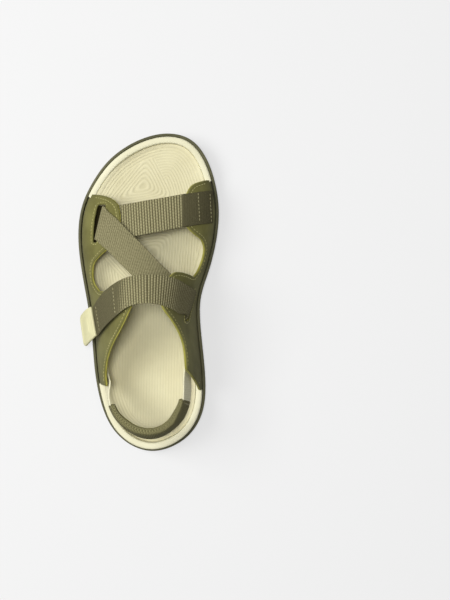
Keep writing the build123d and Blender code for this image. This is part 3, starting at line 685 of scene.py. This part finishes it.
def all_materials():
    """Every material, with colours as display values."""
    return {
        "outsole": plain("rubber_outsole", (69, 68, 41), (85, 83, 54), 900, 0.00006, 0.62, 0, 0.35, 30),
        # The footbed's third colour is the painted shade in its grooves.
        "footbed": grooved("foam_footbed", (203, 196, 160), (213, 207, 172), (150, 142, 100)),
        "rim": plain("foam_rim", (212, 208, 176), (220, 216, 186), 600, 0.00004, 0.7, 0.1, 0.3, 25),
        "board": plain("board", (160, 146, 110), (172, 158, 120), 500, 0.00005),
        "panel": plain("microfibre_olive", (97, 94, 48), (118, 115, 65), 1500, 0.00014, 0.8, 0.05, 0.2, 45),
        "lining": plain("lining_lime", (138, 133, 56), (160, 155, 72), 1800, 0.00010, 0.85, 0.1, 0.2, 120),
        "webbing": woven("webbing_khaki", (64, 59, 34), (164, 158, 120)),
        "sleeve": woven("sleeve_olive", (60, 57, 32), (142, 137, 97), 1.5, 1.25, 0.0002, False),
        "elastic": woven("elastic_pale", (216, 211, 174), (242, 238, 208), 0.9, 1.4, 0.0001, False),
        "thread": plain("thread", (150, 145, 84), (178, 172, 108), 3000, 0.00004, 0.8, 0.3),
        "thread_dark": plain("thread_dark", (128, 122, 84), (150, 144, 104), 3000, 0.00004, 0.8, 0.3),
        "hook": plain("hook_loop", (40, 40, 26), (58, 57, 38), 2600, 0.0003, 0.95, 0.5),
        "tab": plain("tab_pale", (199, 195, 151), (209, 205, 163), 500, 0.00004, 0.6, 0.02, 0.4, 40),
    }


# ---- Sole ----
def rim_top(y):
    """Height of the midsole's rim."""
    return np.interp(y, *zip(*RIM_TOP))


def wall_top(y):
    """Height of the outsole's wall."""
    return np.interp(y, *zip(*WALL_TOP))


def sweep(profile, step=2):
    """A band round the outline from a profile of insets and heights that may vary from place to place."""
    line, inward = RIM[::step], INWARD[::step]
    inset, z = profile(line, lengths(line))
    co = np.concatenate([line[:, None] + inward[:, None] * inset[..., None], z[..., None]], -1)
    return co, grid(*co.shape[:2], around_rows=True)


def cap(loop, z, step=7.0):
    """A flat face with its edge on a row of points."""
    flat, faces, _ = fill(loop[:, :2], [], step)
    return at_height(flat, z), faces


def make_outsole(mat):
    """The rubber cup: its floor, and its wall with shallow upright notches."""
    def profile(line, s):
        top = wall_top(line[:, 1])[:, None]
        notch = 0.45 * smoothstep(np.abs((s / NOTCH_PITCH) % 1 - 0.5), 0.44, 0.47)[:, None]
        share = np.array([0.0, 0.3, 0.55, 0.62, 0.9])
        inset = np.concatenate([
            np.broadcast_to([12, 1.6, 0.7, 0.2], (len(line), 4)), notch * np.array([1, 1, 1, 0, 0]) + 0.02,
            np.broadcast_to([0.18, 0.7, 1.35, 1.9, 2.2, 2.3, 2.3, 12], (len(line), 8)),
        ], 1)
        z = np.concatenate([
            np.broadcast_to([LUG_TOP, LUG_TOP, 1.56, 1.9], (len(line), 4)), 2.2 + (top - 3.0) * share,
            top + np.array([-0.35, -0.06, 0, -0.08, -0.35, -0.8]),
            np.broadcast_to(CUP_FLOOR, (len(line), 2)),
        ], 1)
        return inset, z

    co, faces = sweep(profile)
    under, under_faces = cap(co[:, 0], LUG_TOP)
    floor, floor_faces = cap(co[:, -1], CUP_FLOOR)
    co, faces = merge([(co, [faces]), (under, [under_faces[:, ::-1]]), (floor, [floor_faces])])
    add("outsole_body", co, outward(co, faces), mat, BASE, "rubber_outsole", ["outsole"], flat_angle=50)


def lug_rows(y_low, x_left, x_right, limit):
    """A grid of points over one lug between two grooves, or None where the sole is too narrow."""
    edge = foot_line(0.5)
    rows = []
    for y in y_low + LUG_GAP / 2 + (LUG_PITCH - LUG_GAP) * np.linspace(0, 1, 7):
        left = max(np.interp(y, edge[LATERAL][:, 1], edge[LATERAL][:, 0]), x_left)
        right = min(np.interp(y, edge[MEDIAL][:, 1], edge[MEDIAL][:, 0]), x_right)
        if abs(y) > LUG_REACH or right - left < 3:
            return None
        x = np.linspace(left, right, 24)
        zig = LUG_ZIG / 2 * (2 * np.abs(((x / ZIG_LENGTH) % 1) * 2 - 1) - 1)
        rows.append(np.c_[x, y + zig, 0 * x])
    rows = np.array(rows)
    flat = rows.reshape(-1, 3)
    out = ~inside(flat, limit)
    if out.mean() > 0.5:
        return None
    flat[out, :2] = limit[np.linalg.norm(flat[out, None, :2] - limit[None], axis=-1).argmin(1)]
    return rows


def lug(rows):
    """One lug with a bevelled foot, open where it meets the sole."""
    k, m = rows.shape[:2]
    ring = [(0, j) for j in range(m)] + [(i, m - 1) for i in range(1, k)]
    ring += [(k - 1, j) for j in range(m - 2, -1, -1)] + [(i, 0) for i in range(k - 2, 0, -1)]
    border = np.array([i * m + j for i, j in ring])
    flat = rows.reshape(-1, 3)
    foot = flat.copy()
    middle, size = flat.mean(0)[:2], np.ptp(flat, axis=0)[:2]
    foot[:, :2] = middle + (flat[:, :2] - middle) * (1 - 0.7 / size)
    co = np.concatenate([foot, flat[border] + [0, 0, 0.3], flat[border] + [0, 0, LUG_TOP + 0.05]])
    n, e = len(foot), len(border)
    i, j = np.arange(e), (np.arange(e) + 1) % e
    bevel = np.stack([border[i], border[j], n + j, n + i], -1)
    wall = np.stack([n + i, n + j, n + e + j, n + e + i], -1)
    return co, [part[:, ::-1] for part in (grid(k, m), bevel, wall)]


def make_lugs(mat):
    """Rows of zigzag lugs in three columns."""
    inner, outer = GROOVE_X - LUG_GAP / 2, GROOVE_X + LUG_GAP / 2
    limit = RIM + INWARD * 0.9
    lugs = []
    for row in range(-12, 12):
        for left, right in ((-70, -outer), (-inner, inner), (outer, 70)):
            rows = lug_rows(row * LUG_PITCH, left, right, limit)
            if rows is not None:
                lugs.append(lug(rows))
    co, faces = merge(lugs)
    add("outsole_lugs", co, faces, mat, BASE, "rubber_outsole", flat_angle=35)


def panel_zone(y, medial):
    """1 where a panel stands between the midsole and the wall, 0 at the toe and the heel."""
    edges = ((LATERAL, LATERAL_EDGE), (MEDIAL, MEDIAL_EDGE))
    ends = [flat_edge(side, edge)[1][[0, -1], 1] for side, edge in edges]
    low = np.where(medial, ends[1].min(), ends[0].min())
    high = np.where(medial, ends[1].max(), ends[0].max())
    return smoothstep(y, low - 0.4, low + 0.6) * (1 - smoothstep(y, high - 0.6, high + 0.4))


def make_midsole(mats):
    """The foam rim round the footbed, and the foam and the board inside it."""
    def profile(line, _):
        y = line[:, 1]
        top = rim_top(y)[:, None]
        zone = panel_zone(y, line[:, 0] > 2)[:, None]
        start = 2.42 + 3.1 * zone
        round_in = np.array([0, 0, 0.02, 0.10, 0.24, 0.5, 0.76, 0.90, 0.98, 1.0, 1.0])
        z = top - np.array([0, 2.2, 1.1, 0.34, 0.06, 0, 0.06, 0.34, 1.1, 2.4, 0])
        z[:, 0], z[:, -1] = 4.1, 9.0
        return start + (7.72 - start) * round_in, z

    co, _ = sweep(profile)
    faces = grid(*co.shape[:2], around_rows=True, around_columns=True)
    add("midsole_rim", co, outward(co, [faces]), mats["rim"], BASE, "foam_cream", ["midsole"])
    line = (RIM + INWARD * 8.2)[::4]
    for name, low, high, mat, slot, node in (
        ("midsole_core", 4.1, 7.0, mats["rim"], "foam_cream", []),
        ("insole_board_layer", 7.02, 8.18, mats["board"], "board", ["insole_board"]),
    ):
        flat, tri, _ = fill(line, [], 7.0)
        layer = shell(flat, tri, at_height(flat, high), at_height(flat, low))
        add(name, *layer, mat, BASE, slot, node, flat_angle=40)


def soft_max(values, sharp=0.35):
    """A rounded maximum."""
    values = np.array(values)
    return np.log(np.exp(values * sharp).sum(0)) / sharp


def groove_field(x, y, d):
    """Distance-like value whose even steps are the footbed's grooves."""
    def triangle(cx, cy, sides):
        ways = [(math.cos(math.radians(a)) * k, math.sin(math.radians(a)) * k) for a, k in sides]
        return soft_max([(x - cx) * across + (y - cy) * ahead for across, ahead in ways])

    toe = triangle(-3, 84, [(-80, 1.2), (27, 1), (141, 1)])
    mid = triangle(5, 33, [(97, 1), (-4, 1), (222, 1)])
    heel = np.abs(x - 1.5 - 0.02 * y)
    f = np.where(d < 9.0, d, np.where(toe < 17, toe, d))
    f = np.where((y < 62) & (d > 5) & (mid < 34), mid, f)
    return np.where(y < -8, np.where(d > 12, heel, d), f)


def make_footbed(mat):
    """The footbed: raised at its sides and heel, with grooves that fade out near its edge."""
    loop = even(RIM + INWARD * (FOOTBED_INSET - 0.05), EDGE_STEP)
    flat, tri, d = fill(loop, [], 0.68, (0.3, 0.7))
    x, y = flat[:, 0], flat[:, 1]
    heel = 1 / (1 + np.exp((y + 62) / 14))
    crown = through(TABLE[:, 0], TABLE[:, 1:2], np.maximum(y, -85))[:, 0]
    rise = (1.5 + 3.2 * heel) * np.minimum(np.abs(x - crown * 0.5) / (46 - 9 * heel), 1.2) ** 4
    toe = smoothstep(y, 70, 100) * 1.6 * np.maximum(1 - d / 9, 0) ** 2
    back = heel * 1.2 * np.maximum(1 - d / 14, 0) ** 2
    f = groove_field(x, y, d)
    wave = 0.5 - 0.5 * np.cos(2 * math.pi * f / GROOVE_PITCH)
    strength = 0.4 + 0.6 * smoothstep(y, -22, 5) - 0.3 * smoothstep(y, 60, 75)
    groove = strength * smoothstep(d, 1.2, 2.6) * wave**1.6
    z = FOOTBED_TOP + rise + toe + back - GROOVE_DEPTH * groove - 0.5 * rounding(d, 0.6)
    co, faces = shell(flat, tri, at_height(flat, z), at_height(flat, FOOTBED_FOOT))
    o = add("footbed_top", co, faces, mat, BASE, "foam_cream", ["footbed"])
    # Painted shade in the grooves, for the footbed's material to read.
    attribute(o, "groove", np.concatenate([groove * 0.3, 0 * d]))


# ---- Panels ----
Y_ROWS = np.arange(-110, 110.1, 1.0)
T_STEPS = 80


def arc_table(side):
    """Distances up the skin from the sole, for rows of y by steps of t."""
    t = np.linspace(0, 1, T_STEPS + 1)[None]
    p = section(Y_ROWS[:, None], t, np.full((len(Y_ROWS), 1), side))
    step = np.linalg.norm(np.diff(p, axis=1), axis=2)
    return np.c_[np.zeros(len(Y_ROWS)), np.cumsum(step, 1)]


ARCS = {side: arc_table(side) for side in (LATERAL, MEDIAL)}


def arc_rows(y, side):
    """The rows of distances at the given y."""
    k = np.clip((np.asarray(y) - Y_ROWS[0]).astype(int), 0, len(Y_ROWS) - 2)
    f = (np.asarray(y) - Y_ROWS[k])[:, None]
    return ARCS[side][k] * (1 - f) + ARCS[side][k + 1] * f


def spread(y, t, side):
    """Places on the skin laid flat: distance up from the sole, and y."""
    rows = arc_rows(y, side)
    k = np.clip((t * T_STEPS).astype(int), 0, T_STEPS - 1)
    f = t * T_STEPS - k
    i = np.arange(len(k))
    return np.c_[rows[i, k] * (1 - f) + rows[i, k + 1] * f, y]


def back_to_skin(q, side, lift):
    """Points and normals above the skin for places on the skin laid flat."""
    rows = arc_rows(q[:, 1], side)
    k = np.clip((rows < q[:, :1]).sum(1) - 1, 0, T_STEPS - 1)
    i = np.arange(len(k))
    t = (k + (q[:, 0] - rows[i, k]) / (rows[i, k + 1] - rows[i, k])) / T_STEPS
    return skin(q[:, 1], np.clip(t, 0, 1), side, lift)


def flat_edge(side, edge, grow=0.0):
    """The panel's outline on the skin laid flat, and its free part only."""
    plan = edge_runs(edge)
    y, t, _ = locate(*plan.T, PANEL)
    ok = t > 0.003
    free = spread(y[ok], t[ok], side)
    foot_y = np.arange(free[-1, 1] + 1.0, free[0, 1] - 0.5, 1.2)
    free = np.vstack([[0, free[0, 1]], free, [0, free[-1, 1]]])
    if grow:
        way = -leftward(free, closed=False)
        middle = np.array([8.0, 0.0])
        way *= np.sign(((free - middle) * way).sum(1)).mean()
        free = free + way * grow * smoothstep(free[:, :1], 2, 5)
    loop = np.vstack([free, np.c_[np.zeros(len(foot_y)), foot_y]])
    return even(loop, 0.9), free


def flat_slot(slot, side, front, rear, taper):
    """The slot on the skin laid flat; its inner edge is the one that the webbing folds over.

    Front and rear are its widths at the two ends, and taper shortens its outer edge at the rear.
    """
    y, t, _ = locate(*np.array(slot, float).T, 0)
    a, b = spread(y, t, side)
    along = unit(b - a)
    out = unit(along * along[0] - np.array([1.0, 0.0]))
    a, b = a - along * SLOT_SPARE, b + along * SLOT_SPARE
    r = SLOT_CORNER
    low_a, low_b = a + out * front, b + out * rear - along * taper
    corners = [(a, -along, -out), (low_a, -along, out), (low_b, along, out), (b, along, -out)]
    points = []
    for k, (corner, u, w) in enumerate(corners):
        first, second = (u, w) if k % 2 else (w, u)
        for angle in np.linspace(0, math.pi / 2, 6):
            points.append(corner - r * (u + w) + r * (first * math.cos(angle) + second * math.sin(angle)))
    return even(np.array(points), 0.7)


def offset_free(free, inward):
    """A line beside the panel's free edge, inward of it."""
    line = spaced(free[::3], 0.8)
    way = -leftward(line, closed=False)
    test = inside(line + way * 0.3, np.vstack([free, [[0, free[-1, 1]], [0, free[0, 1]]]]))
    return line + way * inward * (1 if test.mean() > 0.5 else -1)


def skin_layer(flat, tri, side, top, bottom):
    """A closed layer between two heights over the skin."""
    return shell(flat, tri, *(back_to_skin(flat, side, height)[0] for height in (top, bottom)))


def make_side(side, name, edge, slot, slot_width, mats):
    """One quarter: its panel, its lining, and the stitches along its edge and round its slot."""
    loop, free = flat_edge(side, edge)
    hole = flat_slot(slot, side, *slot_width)
    flat, tri, d = fill(loop, [hole], SKIN_STEP, (0.2, 0.5, 0.9, 1.5, SEAM_IN))
    swell = 0.12 * np.exp(-((d - 1.0) ** 2) / 0.5) - 0.16 * np.exp(-((d - SEAM_IN) ** 2) / 0.25)
    lift = PANEL + swell * smoothstep(flat[:, 0], 8, 14) - 0.55 * rounding(d, 0.6)
    layer = skin_layer(flat, tri, side, lift, PANEL_BACK)
    add(f"{name}_panel_skin", *layer, mats["panel"], BASE, "microfibre_olive", [f"{name}_panel"])

    wide, _ = flat_edge(side, edge, 0.42)
    way = out_of(hole)
    flat, tri, d = fill(wide, [even(hole + way * 0.9, 0.7)], SKIN_STEP, (0.25, 0.6))
    round_edge = 0.5 * rounding(d, 0.6)
    layer = skin_layer(flat, tri, side, PANEL_BACK - 0.05 - round_edge, round_edge)
    add(f"{name}_lining_layer", *layer, mats["lining"], BASE, "lining_lime", [f"{name}_lining"])

    line = offset_free(free, SEAM_IN)
    dots = spaced(line[::2], 2.9)
    dots = dots[(dots[:, 0] > 12) & inside(dots, loop) & (to_edge(dots, [loop]) > 1.7)]
    along = capsules(*back_to_skin(dots, side, PANEL), 2.0, 0.3)
    add_thread(f"{name}_edge_thread", along, mats["thread"], f"{name}_edge_stitching")
    ring = even(hole + way * 1.7, 2.7)
    around = capsules(*back_to_skin(np.vstack([ring, ring[:1]]), side, PANEL), 1.9, 0.3)
    add_thread(f"{name}_slot_thread", around, mats["thread"], f"{name}_slot_stitching")


# ---- Webbing ----
def web_piece(name, parts, look, mats, body, replaces):
    """A strap; look gives the ribs' strength, 0 to 1, and the brightness, 0 to 1, at a point, which carries
    darker parts and painted shade.
    """
    v, half = web_across()
    co, faces, uv = strap(parts, v, half, lambda p: 0.06 + 0.34 * look(p)[0])
    o = add(name, co, faces, mats["webbing"], body, "webbing_khaki", replaces, uv)
    for kind, values in zip(("rib", "shade"), look(co)):
        attribute(o, kind, values)
    return o


def toe_look(p):
    """Ribs across the toes; dark on the medial panel, and painted shade that deepens towards the lateral
    panel and is full where the strap goes under it.
    """
    x = p[..., 0]
    ribs = (1 - smoothstep(x, 27, 28)) * smoothstep(x, -27, -24)
    bright = 0.42 + 0.58 * (1 - smoothstep(x, 26.5, 28.5))
    # Painted shade towards the lateral panel's edge, full on the tail behind the slot.
    return ribs, bright * smoothstep(x, -30, -19)


def instep_look(p):
    """Low ribs; painted shade, full where it goes under the medial panel."""
    return np.full(p.shape[:-1], 0.3), 1 - smoothstep(p[..., 0], 29, 32)


def closure_look(p):
    """Ribs over the instep, flat and darker on the flap, with painted shade towards the medial slot."""
    x = p[..., 0]
    ribs = (1 - 0.6 * smoothstep(x, 20, 25)) * smoothstep(x, -21, -17)
    # The first factor is painted shade towards the medial slot; the second darkens the flap.
    bright = (1 - 0.26 * smoothstep(x, 18, 28)) * (0.5 + 0.5 * smoothstep(x, -22, -12))
    return ribs, bright


def blend(o):
    """The piece's placement baked into its mesh points."""
    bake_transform(o)


def make_webbing(mats):
    """The webbing's four lengths and the stitches on them."""
    v, _ = web_across()
    toe, toe_shade_tail, diagonal, instep_shade_tail, closure = (
        run_rows(run, v) for run in (TOE_RUN, TOE_SHADE_TAIL, DIAGONAL_RUN, INSTEP_SHADE_TAIL, CLOSURE_RUN)
    )
    lateral_fold = fold_rows(LATERAL_SLOT, LATERAL, v)
    medial_fold = fold_rows(MEDIAL_SLOT, MEDIAL, v)
    # The row where the strap is cut in two pieces, and the rows where its end's bend starts and stops.
    x = closure[:, :, 0].mean(1)
    cut, first, last = (int(np.argmin(np.abs(x - at))) for at in (2, PEEL_X + 4.3, PEEL_X - 2.7))

    web_piece("toe_strap_webbing", [toe, toe_shade_tail], toe_look, mats, BASE, ["toe_instep_webbing"])
    parts = [toe[-3:], lateral_fold, diagonal, instep_shade_tail]
    web_piece("instep_webbing", parts, instep_look, mats, BASE, [])
    parts = [diagonal[-2:], medial_fold, closure[: cut + 1]]
    o = web_piece("closure_webbing_rear", parts, closure_look, mats, None, ["closure_webbing"])
    blend(o)
    o = web_piece("closure_webbing_front", [closure[cut:]], closure_look, mats, None, ["closure_flap"])
    blend(o)

    top = OVER + WEB_T - 0.1
    seams = [stitch_row([(x, 77.6), (x + 1.2, 55)], top) for x in (39.6, 48.6)]
    add_thread("toe_strap_thread", merge(seams), mats["thread_dark"], "toe_strap_stitching")
    seams = [stitch_row(seam, top + FLAP_LIFT) for seam in FLAP_SEAMS]
    add_thread("closure_thread", merge(seams), mats["thread_dark"], "flap_stitching", "closure_end")


def make_patches(mats):
    """The hook patch under the flap, the loop patch on the panel and the loop patch's stitches."""
    v = np.linspace(-0.93, 0.93, 40)
    rows = [PATCH_START] + [(front, rear) for front, rear, _ in CLOSURE_RUN if front[0] < PATCH_START[0][0]]
    table = np.array([[*front, *rear] for front, rear in rows], float)
    s = lengths((table[:, :2] + table[:, 2:]) / 2)
    x, y = plan_rows(through(s, table, np.linspace(0.3, s[-1] - 0.6, 40)), v)
    for name, height, thick, body, node in (
        ("hook_layer", PANEL + 1.42, 0.76, "closure_end", "hook_patch"),
        ("loop_layer", PANEL + 0.06, 0.78, BASE, "loop_patch"),
    ):
        p, n = over_skin(x, y, height)
        add(name, *slab(p + n * thick, p), mats["hook"], body, "hook_loop_dark", [node], flat_angle=40)
    rows = [stitch_row(pair, PANEL + 0.75) for pair in zip(LOOP_SEAM[:-1], LOOP_SEAM[1:])]
    add_thread("loop_thread", merge(rows), mats["thread_dark"], "loop_patch_stitching")


# ---- Heel strap ----
# The elastic's bottom and top edge where it is free; y, bottom, top and depth where it is inside a panel.
HEEL_FREE = [
    ((-32.2, -76, 24), (-28.6, -75.5, 43)), ((-31, -82, 28.5), (-27.9, -81, 48.5)),
    ((-29, -88.5, 32), (-26, -86.5, 53)), ((-24.6, -95.8, 34), (-22.4, -93.2, 55.5)),
    ((-16.6, -103.4, 36), (-15.2, -99.8, 58)), ((-7.3, -109.4, 37.5), (-6.7, -104.3, 59.5)),
    ((3, -111.7, 38), (3, -106, 60)), ((13.2, -109.4, 37.5), (12.4, -104.2, 59.5)),
    ((22.1, -103.5, 36), (20.6, -98.7, 58)),
    ((29.2, -96, 34), (25.4, -90.5, 55.5)), ((33.2, -87, 32), (28.4, -83.5, 53)),
    ((34.6, -78, 30), (29.4, -75.5, 51.5)),
]
HEEL_IN = {
    LATERAL: [(-56, 14.5, 31.5, 1.1), (-62, 15.5, 33, 1.1), (-69, 18.5, 37, 1.4)],
    MEDIAL: [(-66, 28, 47, 2.2), (-60, 27.5, 45, 1.9), (-53, 27, 42, 1.6)],
}
HEEL_MIDDLE = np.array([2, -60, 45])  # a point inside the heel
ELASTIC_T, SLEEVE_MIDDLE, SLEEVE_SHARE = 1.4, 2.0, 0.86
SLEEVE_ENDS = [(LATERAL, -85.5), (MEDIAL, -81.5)]


def inner_row(y, low, high, clear, side):
    """The elastic's bottom and top edge where it lies inside a panel, clear in from the skin."""
    t = np.linspace(0.02, 0.98, 400)
    p = section(np.full(400, float(y)), t, np.full(400, side))
    at = np.interp([low, high], p[:, 2], t)
    return skin(y, at, side, -clear)[0]


def heel_surface(count):
    """The middle of the elastic's outer face at even steps, its half height, and directions up and in."""
    rows = [inner_row(*r, LATERAL) for r in HEEL_IN[LATERAL]]
    rows += [np.array(r, float) for r in HEEL_FREE]
    rows += [inner_row(*r, MEDIAL) for r in HEEL_IN[MEDIAL]]
    rows = np.array(rows)
    s = lengths(rows.mean(1))
    rows = through(s, rows, np.linspace(0, s[-1], count))
    mid, rise = rows.mean(1), rows[:, 1] - rows[:, 0]
    inward = unit(np.cross(unit(rise), np.gradient(mid, axis=0)))
    inward *= np.sign(((HEEL_MIDDLE - mid) * inward).sum(1).mean())
    return mid, np.linalg.norm(rise, axis=1) / 2, unit(rise), inward


def make_elastic(mats, mid, half, rise, inward):
    """The elastic band, ribbed along its length, a little narrower inside the sleeve."""
    s = lengths(mid)
    v = np.linspace(-1, 1, 31)
    edge = np.sqrt(np.maximum(1 - np.clip((np.abs(v) - 0.94) / 0.06, 0, 1) ** 2, 0.03))
    narrow = 1 - (1 - SLEEVE_SHARE) * smoothstep(np.minimum(s, s[-1] - s), 18, 40)
    centre = mid[:, None] + rise[:, None] * (v[None, :, None] * (half * narrow)[:, None, None])
    thick = (0.62 + 0.07 * np.cos(2 * math.pi * v * 11.5 / 1.9)) * edge
    faces = [centre + inward[:, None] * (ELASTIC_T / 2 + k * thick)[None, :, None] for k in (-1, 1)]
    replaced = ["heel_elastic", "heel_anchor_lateral", "heel_anchor_medial"]
    uv = cloth_map(s, v * 11)
    o = add("heel_elastic_band", *slab(*faces), mats["elastic"], None, "elastic_pale", replaced, uv)
    blend(o)


def make_sleeve(mats, mid, half, rise, inward):
    """The padded sleeve, its lining and the stitches near its ends."""
    s = lengths(mid)
    half = half * SLEEVE_SHARE
    to_end = np.minimum(s, s[-1] - s)
    close = np.sqrt(np.clip(1 - np.clip(1 - to_end / 1.6, 0, 1) ** 2, 0.0, 1))
    fat = 2.3 + 0.8 * smoothstep(to_end, 2, 22)
    angle = np.linspace(0, 2 * math.pi, 72, endpoint=False)
    cu = np.sign(np.cos(angle)) * np.abs(np.cos(angle)) ** 0.32
    cv = np.sign(np.sin(angle)) * np.abs(np.sin(angle)) ** 0.48
    wide = (half + 1.6)[:, None] * cv[None] * (0.9 + 0.1 * close)[:, None]
    deep = np.maximum(SLEEVE_MIDDLE + fat[:, None] * cu[None] * close[:, None], -1.7)
    seam = 0.22 * np.exp(-((np.abs(cv) - 0.86) ** 2) / 0.002) * (np.abs(cu) > 0.6) * np.sign(-cu)
    co = mid[:, None] + rise[:, None] * wide[..., None] + inward[:, None] * (deep + seam)[..., None]
    k, m = co.shape[:2]
    co = np.concatenate([co.reshape(-1, 3), [co[0].mean(0), co[-1].mean(0)]])
    j, after = np.arange(m), (np.arange(m) + 1) % m
    last = (k - 1) * m
    tips = np.full(m, k * m), np.full(m, k * m + 1)
    fans = [np.stack([tips[0], j, after], -1), np.stack([tips[1], last + after, last + j], -1)]
    uv = np.stack(np.broadcast_arrays(s[:, None], (angle * 6)[None]), -1).reshape(-1, 2)
    uv = np.vstack([uv, [[0, 0], [s[-1], 0]]])
    o = add(
        "heel_sleeve_cover", co, outward(co, [grid(k, m, around_columns=True), *fans]), mats["sleeve"],
        "heel_strap", "microfibre_olive", ["heel_sleeve", "heel_pad"], uv,
    )

    w = np.linspace(-1, 1, 25)
    keep = slice(6, -6)
    base = mid[keep, None] + rise[keep, None] * (w[None, :, None] * (half + 0.3)[keep, None, None])
    depth = (SLEEVE_MIDDLE - 0.5 + fat[keep])[:, None] - 1.25 * np.maximum(np.abs(w) - 0.8, 0)[None]
    bulge = 0.55 * np.sqrt(np.maximum(1 - w**6, 0.0))
    layer = slab(*(base + inward[keep, None] * (depth + k * bulge[None])[..., None] for k in (0, 1)))
    add("heel_lining_layer", *layer, mats["lining"], "heel_strap", "lining_lime", ["heel_sleeve_lining"])

    groups = []
    u = np.linspace(-SLEEVE_SHARE, SLEEVE_SHARE, 9)[:, None]
    for at in (3.2, s[-1] - 3.2):
        k = np.argmin(np.abs(s - at))
        line = mid[k] + rise[k] * half[k] * u + inward[k] * (SLEEVE_MIDDLE - fat[k] - 0.02)
        groups.append(capsules(line, np.repeat(-inward[k][None], len(u), 0), 1.9, 0.3))
    add_thread("heel_thread", merge(groups), mats["thread_dark"], "heel_sleeve_stitching", "heel_strap")


def make_heel(mats):
    """The heel strap: its elastic, and the sleeve over the part at the back."""
    strap_rows = heel_surface(420)
    make_elastic(mats, *strap_rows)
    x, y = strap_rows[0][:, :2].T
    first, last = (int(np.argmin(np.abs(y - at) + (x * side < 0) * 99)) for side, at in SLEEVE_ENDS)
    make_sleeve(mats, *(row[first : last + 1] for row in strap_rows))


# ---- Pull tab ----
# The tab's front and rear edge, from the flap out.
TAB_ROWS = [
    ((-42.4, -10.6, 26.4), (-37.8, -33.0, 33.4)), ((-46.4, -13.0, 22.6), (-41.8, -36.6, 28.6)),
    ((-49.4, -15.8, 18.6), (-45.2, -39.8, 22.8)), ((-51.8, -18.6, 14.4), (-48.0, -42.8, 16.6)),
]
TAB_T = 2.4


def tab_loop(width, height, radii=(0.8, 4.2)):
    """The tab's outline laid flat, with small corners where it meets the flap and large ones at its end."""
    corners = []
    for k, (end, top) in enumerate(((0, 0), (1, 0), (1, 1), (0, 1))):
        r = radii[end]
        centre = np.array([end * width + (1 - 2 * end) * r, top * height + (1 - 2 * top) * r])
        for a in math.pi + k * math.pi / 2 + np.linspace(0, math.pi / 2, 8):
            corners.append(centre + r * np.array([math.cos(a), math.sin(a)]))
    return even(np.array(corners), 0.5)


def make_tab(mats):
    """The moulded pull tab: a dished face with two raised lines that follow its outline."""
    rows = np.array(TAB_ROWS, float)
    s = lengths(rows.mean(1))
    height = np.linalg.norm(rows[:, 1] - rows[:, 0], axis=1).mean()
    flat, tri, d = fill(tab_loop(s[-1], height), [], 0.5, (0.2, 0.45, 0.8))

    def surface(a, b):
        row = through(s, rows, a)
        share = (b / height)[:, None]
        return row[:, 0] * (1 - share) + row[:, 1] * share

    a, b = flat.T
    p = surface(a, b)
    n = unit(np.cross(surface(a + 0.2, b) - surface(a - 0.2, b), surface(a, b + 0.2) - surface(a, b - 0.2)))
    n *= np.sign(n[:, 2:].mean())
    dish = smoothstep(d, 1.7, 2.5) * (1 - smoothstep(d, 6.2, 7.0)) * 0.5
    line = sum(0.28 * np.exp(-((d - at) ** 2) / 0.12) for at in (4.3, 5.6))
    edge = rounding(d, 1.0)
    top = p + n * (TAB_T - 0.05 - edge - dish + line)[:, None]
    bottom = p + n * (0.1 + edge * 0.8)[:, None]
    co, faces = shell(flat, tri, top, bottom)
    add("pull_tab_body", co, faces, mats["tab"], "closure_end", "tab_pale", ["pull_tab"])


# ---- Stage ----
LIGHTS = {"top": ((-0.08, 0.1, 2.1), 0.5, 27), "key": ((-1.2, 0.3, 1.4), 1.1, 27)}  # place, size, power
WORLD_LIGHT = 0.15
CAMERA_PLACE, LENS = (0.0603, -0.00556, 1.05), 79.3


def make_floor():
    """A pale floor whose glow the camera sees more of than the object does."""
    s = Shader("floor_pale", 0.95, 0, 0.1)
    s.color((0.3, 0.3, 0.3, 1))
    s.p.inputs["Emission Color"].default_value = (1, 1, 1, 1)
    seen = s.node("ShaderNodeLightPath").outputs["Is Camera Ray"]
    s.feed(s.p.inputs["Emission Strength"], s.math("ADD", s.math("MULTIPLY", seen, 0.4), 0.12))
    bpy.ops.mesh.primitive_plane_add(size=24, location=(0, 0, 0))
    plane = bpy.context.object
    plane.name = "floor"
    plane.data.materials.append(s.m)


def make_lights():
    """A dim white surround and two soft lamps that point at the sandal."""
    scene = bpy.context.scene
    scene.world = bpy.data.worlds.new("studio")
    scene.world.use_nodes = True
    background = scene.world.node_tree.nodes["Background"]
    background.inputs[0].default_value = (1, 1, 1, 1)
    background.inputs[1].default_value = WORLD_LIGHT
    for name, (place, size, power) in LIGHTS.items():
        light = bpy.data.lights.new(name, "AREA")
        light.size = size
        light.energy = power
        o = bpy.data.objects.new(name, light)
        o.location = place
        o.rotation_euler = (-Vector(place)).to_track_quat("-Z", "Y").to_euler()
        scene.collection.objects.link(o)


def make_camera():
    """A camera that looks straight down, off to the medial side."""
    scene = bpy.context.scene
    camera = bpy.data.objects.new("camera", bpy.data.cameras.new("camera"))
    camera.data.sensor_width = 36
    camera.data.lens = LENS
    camera.data.clip_start, camera.data.clip_end = 0.05, 20
    camera.location = CAMERA_PLACE
    scene.collection.objects.link(camera)
    scene.camera = camera
    scene.view_settings.view_transform = "Standard"
    scene.view_settings.look = "None"


mats = all_materials()
make_outsole(mats["outsole"])
make_lugs(mats["outsole"])
make_midsole(mats)
make_footbed(mats["footbed"])
make_side(LATERAL, "lateral", LATERAL_EDGE, LATERAL_SLOT, (8.4, 5.4, 0), mats)
make_side(MEDIAL, "medial", MEDIAL_EDGE, MEDIAL_SLOT, (7.4, 6.2, 3.4), mats)
make_webbing(mats)
make_patches(mats)
make_heel(mats)
make_tab(mats)
make_floor()
make_lights()
make_camera()
